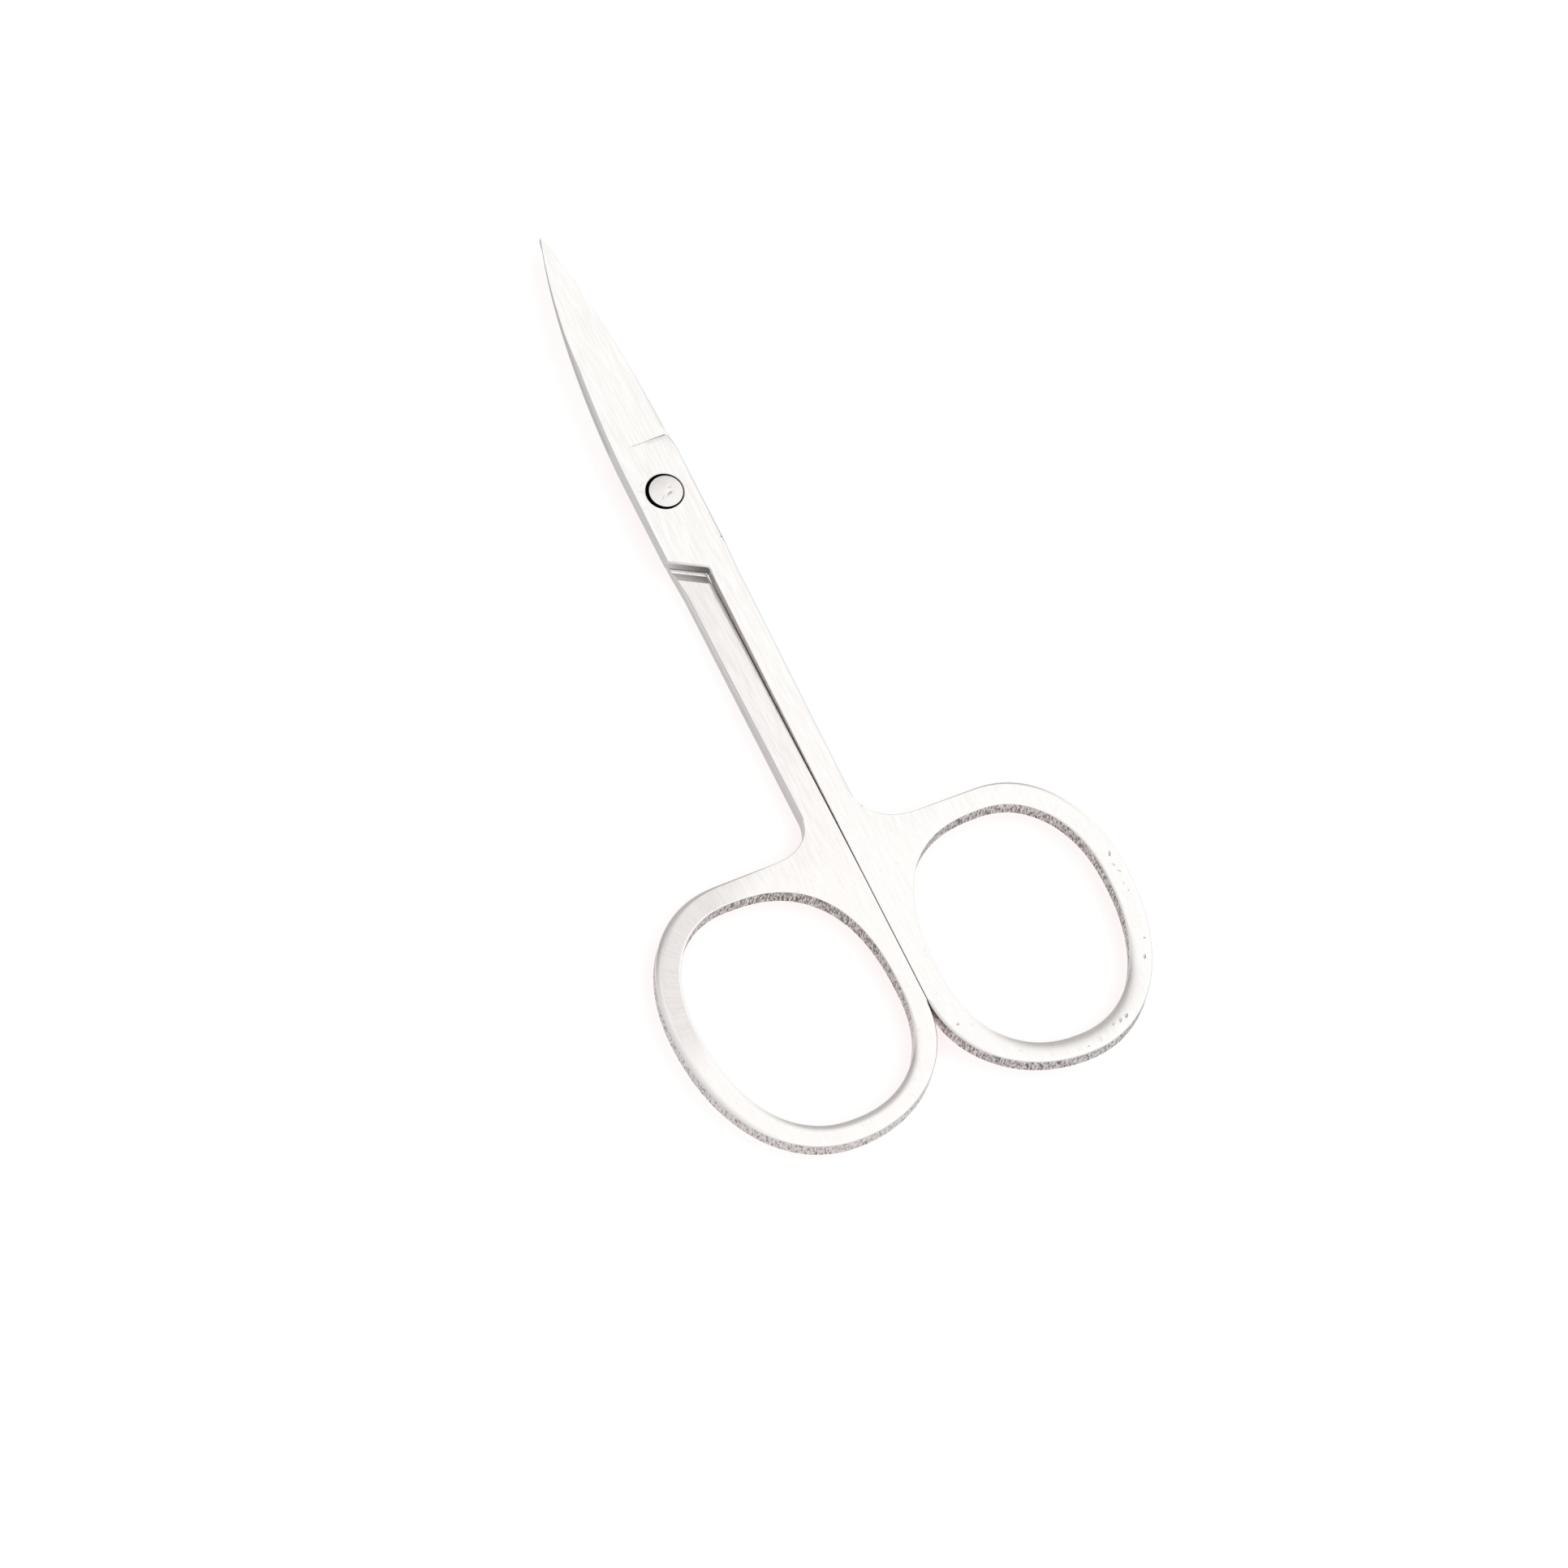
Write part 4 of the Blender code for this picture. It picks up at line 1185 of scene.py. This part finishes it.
def wall_colour(tree, s, long_lines, tears):
    """Ground walls with lines along them, sheared walls torn up and down, and both darker where they are
    dull, with painted shade.
    """
    dark = opaque(s.sheared_dark_and_shade)
    unpolished = attribute(tree, "unpolished")
    deeper_tears = maths(tree, "SUBTRACT", tears, times(tree, unpolished, DULL_AND_SHADE_TEARS))
    torn = ramped(tree, deeper_tears, *TEAR_RANGE)
    sheared = blended(tree, torn, dark, opaque(s.sheared_light))
    # Dull walls are painted darker: the dull steel, and painted shade in the walls
    dull_and_shade_share = times(tree, unpolished, rising(tree, DULL_AND_SHADE_SHARE, long_lines))
    ground = blended(tree, dull_and_shade_share, opaque(s.ground_wall), dark)
    ground = blended(tree, times(tree, long_lines, WALL_LINE_SHARE), ground, dark)
    return blended(tree, attribute(tree, "speckle"), ground, sheared)


def soot_and_shade_share(tree, place, s, centre):
    """Share of soot and painted shade: 1 in the rivet's recess, 0 beyond it."""
    offset = vector_maths(tree, "SUBTRACT", place, centre).outputs[0]
    level_offset = vector_maths(tree, "MULTIPLY", offset, (1.0, 1.0, 0.0)).outputs[0]
    radius = vector_maths(tree, "LENGTH", level_offset).outputs["Value"]
    starts, ends = [s.recess_diameter / 2 + beyond for beyond in SOOT_AND_SHADE_EDGE]
    return ramped(tree, radius, starts, ends, 1.0, 0.0)


def half_steel(name, s, face_colour, soot_and_shade_centre, hole_centre):
    """Brushed faces, ground or sheared walls, and soot with painted shade in the rivet's recess, in one
    material.
    """
    material, tree, shader, place = new_material(name)
    level = maths(tree, "ABSOLUTE", facing_up(tree))
    upright = ramped(tree, level, *WALL_RANGE, 1.0, 0.0)
    speckle = attribute(tree, "speckle")

    # Brushed face: fine lines along the blade, faint cloudy stains, and lines across one ring with painted
    # shade on that side
    lines = ramped(tree, grain(tree, place, BRUSHED), *LINE_RANGE)
    stains = ramped(tree, grain(tree, place, CLOUDY), *STAIN_RANGE)
    darker = opaque([part * tint for part, tint in zip(face_colour, LINE_TINT)])
    line_share = times(tree, lines, rising(tree, LINE_SHARE, speckle))
    face = blended(tree, line_share, opaque(face_colour), darker)
    stain_share = times(tree, stains, rising(tree, STAIN_SHARE, speckle))
    face = blended(tree, stain_share, face, opaque(s.stain))
    face = blended(tree, crossed_and_shaded_share(tree, place, level, hole_centre), face, darker)

    # Painted shade along broken edges, and painted shade down in dents
    edge_shade_share = ramped(tree, level, *EDGE_SHADE_RANGE, EDGE_SHADE_SHARE, 0.0)
    face = blended(tree, edge_shade_share, face, opaque(s.painted_edge_shade))
    # Dents are painted darker the deeper they are: painted shade
    dent_shade_share = times(tree, attribute(tree, "marked"), DENT_SHADE_SHARE)
    face = blended(tree, dent_shade_share, face, opaque(s.sheared_dark_and_shade))

    # Walls, and soot and painted shade in the recess
    long_lines = grain(tree, place, LONG_LINES)
    tears = grain(tree, place, TEARS)
    steel = blended(tree, upright, face, wall_colour(tree, s, long_lines, tears))
    soot_and_shade = soot_and_shade_share(tree, place, s, soot_and_shade_centre)
    tree.links.new(blended(tree, soot_and_shade, steel, opaque(s.soot_and_shade)), shader.inputs["Base Color"])

    # Roughness and relief
    rough = rising(tree, (s.face_roughness, LINE_ROUGHNESS), lines)
    rough = maths(tree, "ADD", rough, times(tree, attribute(tree, "stamped"), STAMPED_ROUGHNESS))
    rough = ramped(tree, upright, 0.0, 1.0, rough, s.wall_roughness)
    rough = maths(tree, "MAXIMUM", rough, times(tree, soot_and_shade, SOOT_AND_SHADE_ROUGHNESS))
    tree.links.new(rough, shader.inputs["Roughness"])
    height = mixed(tree, upright, lines, mixed(tree, speckle, long_lines, tears))
    reliefs = [rising(tree, relief, speckle) for relief in (FACE_RELIEF, WALL_RELIEF)]
    add_relief(tree, shader, ramped(tree, upright, 0.0, 1.0, *reliefs), height)
    return material


def rivet_steel(name, s):
    """Peened head with fine lines, and its sides painted near black as the shade in the recess round it."""
    material, tree, shader, place = new_material(name)
    lines = grain(tree, place, HEAD_LINES)
    blots = ramped(tree, grain(tree, place, BLOTS), *BLOT_RANGE)
    shade = maths(tree, "ADD", times(tree, lines, HEAD_LINE_SHARE), times(tree, blots, BLOT_SHARE))
    darker = opaque([part * HEAD_TINT for part in s.rivet_face])
    top = blended(tree, shade, opaque(s.rivet_face), darker)
    # The head's sides take the near-black recess colour: painted shade in the gap round the head
    side = ramped(tree, facing_up(tree), *HEAD_SIDE_RANGE, 1.0, 0.0)
    tree.links.new(blended(tree, side, top, opaque(s.soot_and_shade)), shader.inputs["Base Color"])
    tree.links.new(rising(tree, HEAD_ROUGHNESS, lines), shader.inputs["Roughness"])
    add_relief(tree, shader, HEAD_RELIEF, lines)
    return material


# Rivet


HEAD_RINGS = 24
HEAD_DENTS = (
    Mark(0.20, -0.18, 0.50, 0.34, 0.090, 15), Mark(-0.10, -0.42, 0.30, 0.16, 0.030, 60),
    Mark(-0.62, -0.50, 0.50, 0.14, 0.035, 40), Mark(0.40, 0.30, 0.40, 0.24, 0.030, 30),
)
LUMP_WIDTH = 0.45 * MM
LUMP_HEIGHT = 0.008 * MM


def rivet_profile(s, rim, flat):
    """Points (radius, height) of the rivet, from the bottom of its tail to the top of its head."""
    pin, head, tail = s.pin_diameter / 2, s.head_diameter / 2, s.tail_diameter / 2
    base = s.stack_height - s.head_height
    profile = [(0.0, s.seat_clearance), (tail, s.seat_clearance), (pin, s.tail_height + s.seat_clearance)]
    profile += [(pin, base), (head, base)]
    for step in range(s.break_steps + 1):
        angle = math.pi / 2 * step / s.break_steps
        radius = head - s.head_rounding * (1 - math.cos(angle))
        profile.append((radius, rim - s.head_rounding * (1 - math.sin(angle))))
    for ring in range(1, HEAD_RINGS):
        radius = flat * (1 - ring / HEAD_RINGS)
        profile.append((radius, s.stack_height - s.head_dome * (radius / flat) ** 2))
    profile.append((0.0, s.stack_height))
    return profile


def rivet_mesh(s):
    """Turned rivet: spread tail, pin, and a head with a low, dented dome."""
    rim = s.stack_height - s.head_dome
    flat = s.head_diameter / 2 - s.head_rounding
    bm = turned(rivet_profile(s, rim, flat), s.round_segments)
    for vert in bm.verts:
        if vert.co.z < rim or vert.co.xy.length > flat:
            continue
        x, y = vert.co.xy
        lump = noise.noise(Vector((x, y, 0.0)) / LUMP_WIDTH) * LUMP_HEIGHT
        for dent in HEAD_DENTS:
            distance = 2 * from_mark(dent, x / MM, y / MM)
            lump -= dent.deep * MM * math.exp(-distance * distance)
        vert.co.z += min(lump, 0.0)
    mesh = bpy.data.meshes.new("rivet")
    bm.to_mesh(mesh)
    bm.free()
    return mesh


class SCISSORS_OT_lower_half(bpy.types.Operator):
    """Build the half that lies underneath, with its bow on the left"""
    bl_idname = "scissors.lower_half"
    bl_label = "Lower half"
    bl_options = {"REGISTER", "UNDO"}

    def execute(self, context):
        h = half_sizes(context.scene, False)
        hole = (PIVOT.x + h.parting - h.hole_lowest, PIVOT.y - h.hole_widest, h.bow_thickness)
        steel = half_steel("lower_steel_brushed", h, h.lower_face, FAR_AWAY, hole)
        make_half(h, "lower", tail_seat_cutter, LOWER_MARKS, over_pivot(0.0), steel)
        return {"FINISHED"}


class SCISSORS_OT_upper_half(bpy.types.Operator):
    """Build the half on top, with its bow on the right"""
    bl_idname = "scissors.upper_half"
    bl_label = "Upper half"
    bl_options = {"REGISTER", "UNDO"}

    def execute(self, context):
        h = half_sizes(context.scene, True)
        centre = (PIVOT.x - h.recess_offset, PIVOT.y, 0.0)
        steel = half_steel("upper_steel_brushed", h, h.upper_face, centre, FAR_AWAY)
        matrix = over_pivot(h.stack_height) @ Matrix.Rotation(math.pi, 4, "Y")
        make_half(h, "upper", head_recess_cutter, UPPER_MARKS, matrix, steel)
        return {"FINISHED"}


class SCISSORS_OT_pivot_rivet(bpy.types.Operator):
    """Build the rivet with its peened head"""
    bl_idname = "scissors.pivot_rivet"
    bl_label = "Pivot rivet"
    bl_options = {"REGISTER", "UNDO"}

    def execute(self, context):
        s = sizes_of(context.scene)
        mesh = rivet_mesh(s)
        crease(mesh, lambda face: False, s.blade_reach)
        steel = rivet_steel("rivet_steel_peened", s)
        matrix = over_pivot(0.0)
        place_piece("pivot_rivet_peened", mesh, matrix, "lower", "pivot_rivet", steel)
        return {"FINISHED"}


# Stage


def floor_material(stage):
    """Pale floor that shows white where nothing shades it, also in the steel's reflections."""
    material = bpy.data.materials.new("pale_floor")
    material.use_nodes = True
    tree = material.node_tree
    tree.nodes.clear()
    path = node(tree, "ShaderNodeLightPath")
    seen = maths(tree, "ADD", path.outputs["Is Camera Ray"], path.outputs["Is Glossy Ray"])
    seen = maths(tree, "ADD", seen, path.outputs["Is Transmission Ray"])
    seen = maths(tree, "MINIMUM", seen, 1.0)
    lit = node(tree, "ShaderNodeBsdfDiffuse", {"Color": opaque(stage.floor_colour)})
    glow = node(tree, "ShaderNodeEmission", {"Color": opaque(stage.floor_white), "Strength": seen})
    both = node(tree, "ShaderNodeAddShader", {0: lit.outputs[0], 1: glow.outputs[0]})
    node(tree, "ShaderNodeOutputMaterial", {0: both.outputs[0]})
    return material


FLOOR_HEIGHT = -0.01 * MM


def make_floor(stage):
    """Square floor just under the scissors."""
    half = stage.floor_width / 2
    corners = [(-half, -half), (half, -half), (half, half), (-half, half)]
    mesh = bpy.data.meshes.new("floor")
    mesh.from_pydata([(x, y, FLOOR_HEIGHT) for x, y in corners], [], [(0, 1, 2, 3)])
    mesh.materials.append(floor_material(stage))
    floor = fresh_object("floor", mesh)


# Where the studio is darker, beyond the blades and on the left: the direction, and how near to it the
# dark starts and is full
FAR_SIDE = Vector((0.10, 0.95, 0.30))
FAR_RANGE = (0.68, 0.87)
LEFT_SIDE = Vector((-0.75, 0.35, 0.55))
LEFT_RANGE = (0.55, 0.92)


def make_world(stage):
    """Soft studio: bright, but for the far side and a little on the left."""
    world = bpy.data.worlds.new("studio")
    bpy.context.scene.world = world
    world.use_nodes = True
    tree = world.node_tree
    tree.nodes.clear()
    direction = node(tree, "ShaderNodeTexCoord").outputs["Generated"]
    beyond = vector_maths(tree, "DOT_PRODUCT", direction, FAR_SIDE.normalized())
    beside = vector_maths(tree, "DOT_PRODUCT", direction, LEFT_SIDE.normalized())
    darkness = ramped(tree, beyond.outputs["Value"], *FAR_RANGE)
    sky = blended(tree, darkness, opaque(stage.sky_bright), opaque(stage.sky_dark))
    dimmed = ramped(tree, beside.outputs["Value"], *LEFT_RANGE, 1.0, stage.side_dark)
    dimmed = times(tree, dimmed, stage.sky_strength)
    light = node(tree, "ShaderNodeBackground", {"Color": sky, "Strength": dimmed})
    node(tree, "ShaderNodeOutputWorld", {0: light.outputs[0]})


def look_matrix(place, target, up):
    """Placement of a lamp or camera at a place, looking at a target."""
    back = (place - target).normalized()
    right = up.cross(back).normalized()
    true_up = back.cross(right)
    matrix = Matrix((right, true_up, back)).transposed().to_4x4()
    matrix.translation = place
    return matrix


LAMP_PLACE = Vector((0.42, 0.10, 0.42))
LAMP_COLOUR = (1.0, 0.985, 0.97)


def make_lamp(stage):
    """Large soft lamp beside and above the scissors."""
    data = bpy.data.lights.new("soft_lamp", "AREA")
    data.shape = "SQUARE"
    data.size = stage.lamp_width
    data.energy = stage.lamp_power
    data.color = LAMP_COLOUR
    lamp = fresh_object("soft_lamp", data)
    lamp.visible_glossy = False
    lamp.matrix_world = look_matrix(LAMP_PLACE, Vector((0.0, 0.0, 0.0)), UPWARD)


# Camera: sensor and lens, what the picture's width spans at the scissors, and where the rivet's top
# lies in the picture, right of and above its middle
SENSOR = 36.0
LENS = 1000.0
PICTURE_WIDTH = 137.64 * MM
RIVET_RIGHT = -10.337 * MM
RIVET_UP = 25.768 * MM
SIGHT_AZIMUTH = math.radians(50.19)


def make_camera(stage, rivet_top):
    """Camera at the photograph's angle."""
    tilt, roll = stage.camera_tilt, stage.camera_roll
    out = math.sin(tilt)
    sight = Vector((math.cos(SIGHT_AZIMUTH) * out, math.sin(SIGHT_AZIMUTH) * out, -math.cos(tilt)))
    level = sight.cross(UPWARD).normalized()
    over = level.cross(sight)
    right = level * math.cos(roll) + over * math.sin(roll)
    up = over * math.cos(roll) - level * math.sin(roll)
    middle = rivet_top - right * RIVET_RIGHT - up * RIVET_UP
    distance = PICTURE_WIDTH * LENS / SENSOR
    data = bpy.data.cameras.new("camera")
    data.lens = LENS
    data.sensor_width = SENSOR
    camera = fresh_object("camera", data)
    camera.matrix_world = look_matrix(middle - sight * distance, middle, up)
    bpy.context.scene.camera = camera


class SCISSORS_OT_stage(bpy.types.Operator):
    """Build the floor, the light and the camera"""
    bl_idname = "scissors.stage"
    bl_label = "Stage"
    bl_options = {"REGISTER", "UNDO"}

    def execute(self, context):
        stage = context.scene.eyebrow_scissors.stage
        make_floor(stage)
        make_world(stage)
        make_lamp(stage)
        make_camera(stage, Vector((PIVOT.x, PIVOT.y, sizes_of(context.scene).stack_height)))
        context.scene.view_settings.view_transform = "Standard"
        return {"FINISHED"}


class SCISSORS_PT_panel(bpy.types.Panel):
    """Pieces of the scissors and their stage"""
    bl_idname = "SCISSORS_PT_panel"
    bl_label = "Eyebrow scissors"
    bl_space_type = "VIEW_3D"
    bl_region_type = "UI"
    bl_category = "Scissors"

    def draw(self, context):
        for operator in OPERATORS:
            self.layout.operator(operator.bl_idname)


OPERATORS = (SCISSORS_OT_lower_half, SCISSORS_OT_upper_half, SCISSORS_OT_pivot_rivet, SCISSORS_OT_stage)
GROUPS = (SteelSizes, LapSizes, BladeSizes, BowSizes, BreakSizes, RivetSizes, OwnSizes, CurveSteps,
          FinishColours, StageSettings, ScissorsSettings)
CLASSES = GROUPS + OPERATORS + (SCISSORS_PT_panel,)


def register():
    """Make the settings, operators and panel known."""
    for item in CLASSES:
        bpy.utils.register_class(item)
    bpy.types.Scene.eyebrow_scissors = PointerProperty(type=ScissorsSettings)


def unregister():
    """Take them away again."""
    del bpy.types.Scene.eyebrow_scissors
    for item in reversed(CLASSES):
        bpy.utils.unregister_class(item)


def main():
    """Build every piece and the stage."""
    register()
    bpy.ops.scissors.lower_half()
    bpy.ops.scissors.upper_half()
    bpy.ops.scissors.pivot_rivet()
    bpy.ops.scissors.stage()


if __name__ == "__main__":
    main()
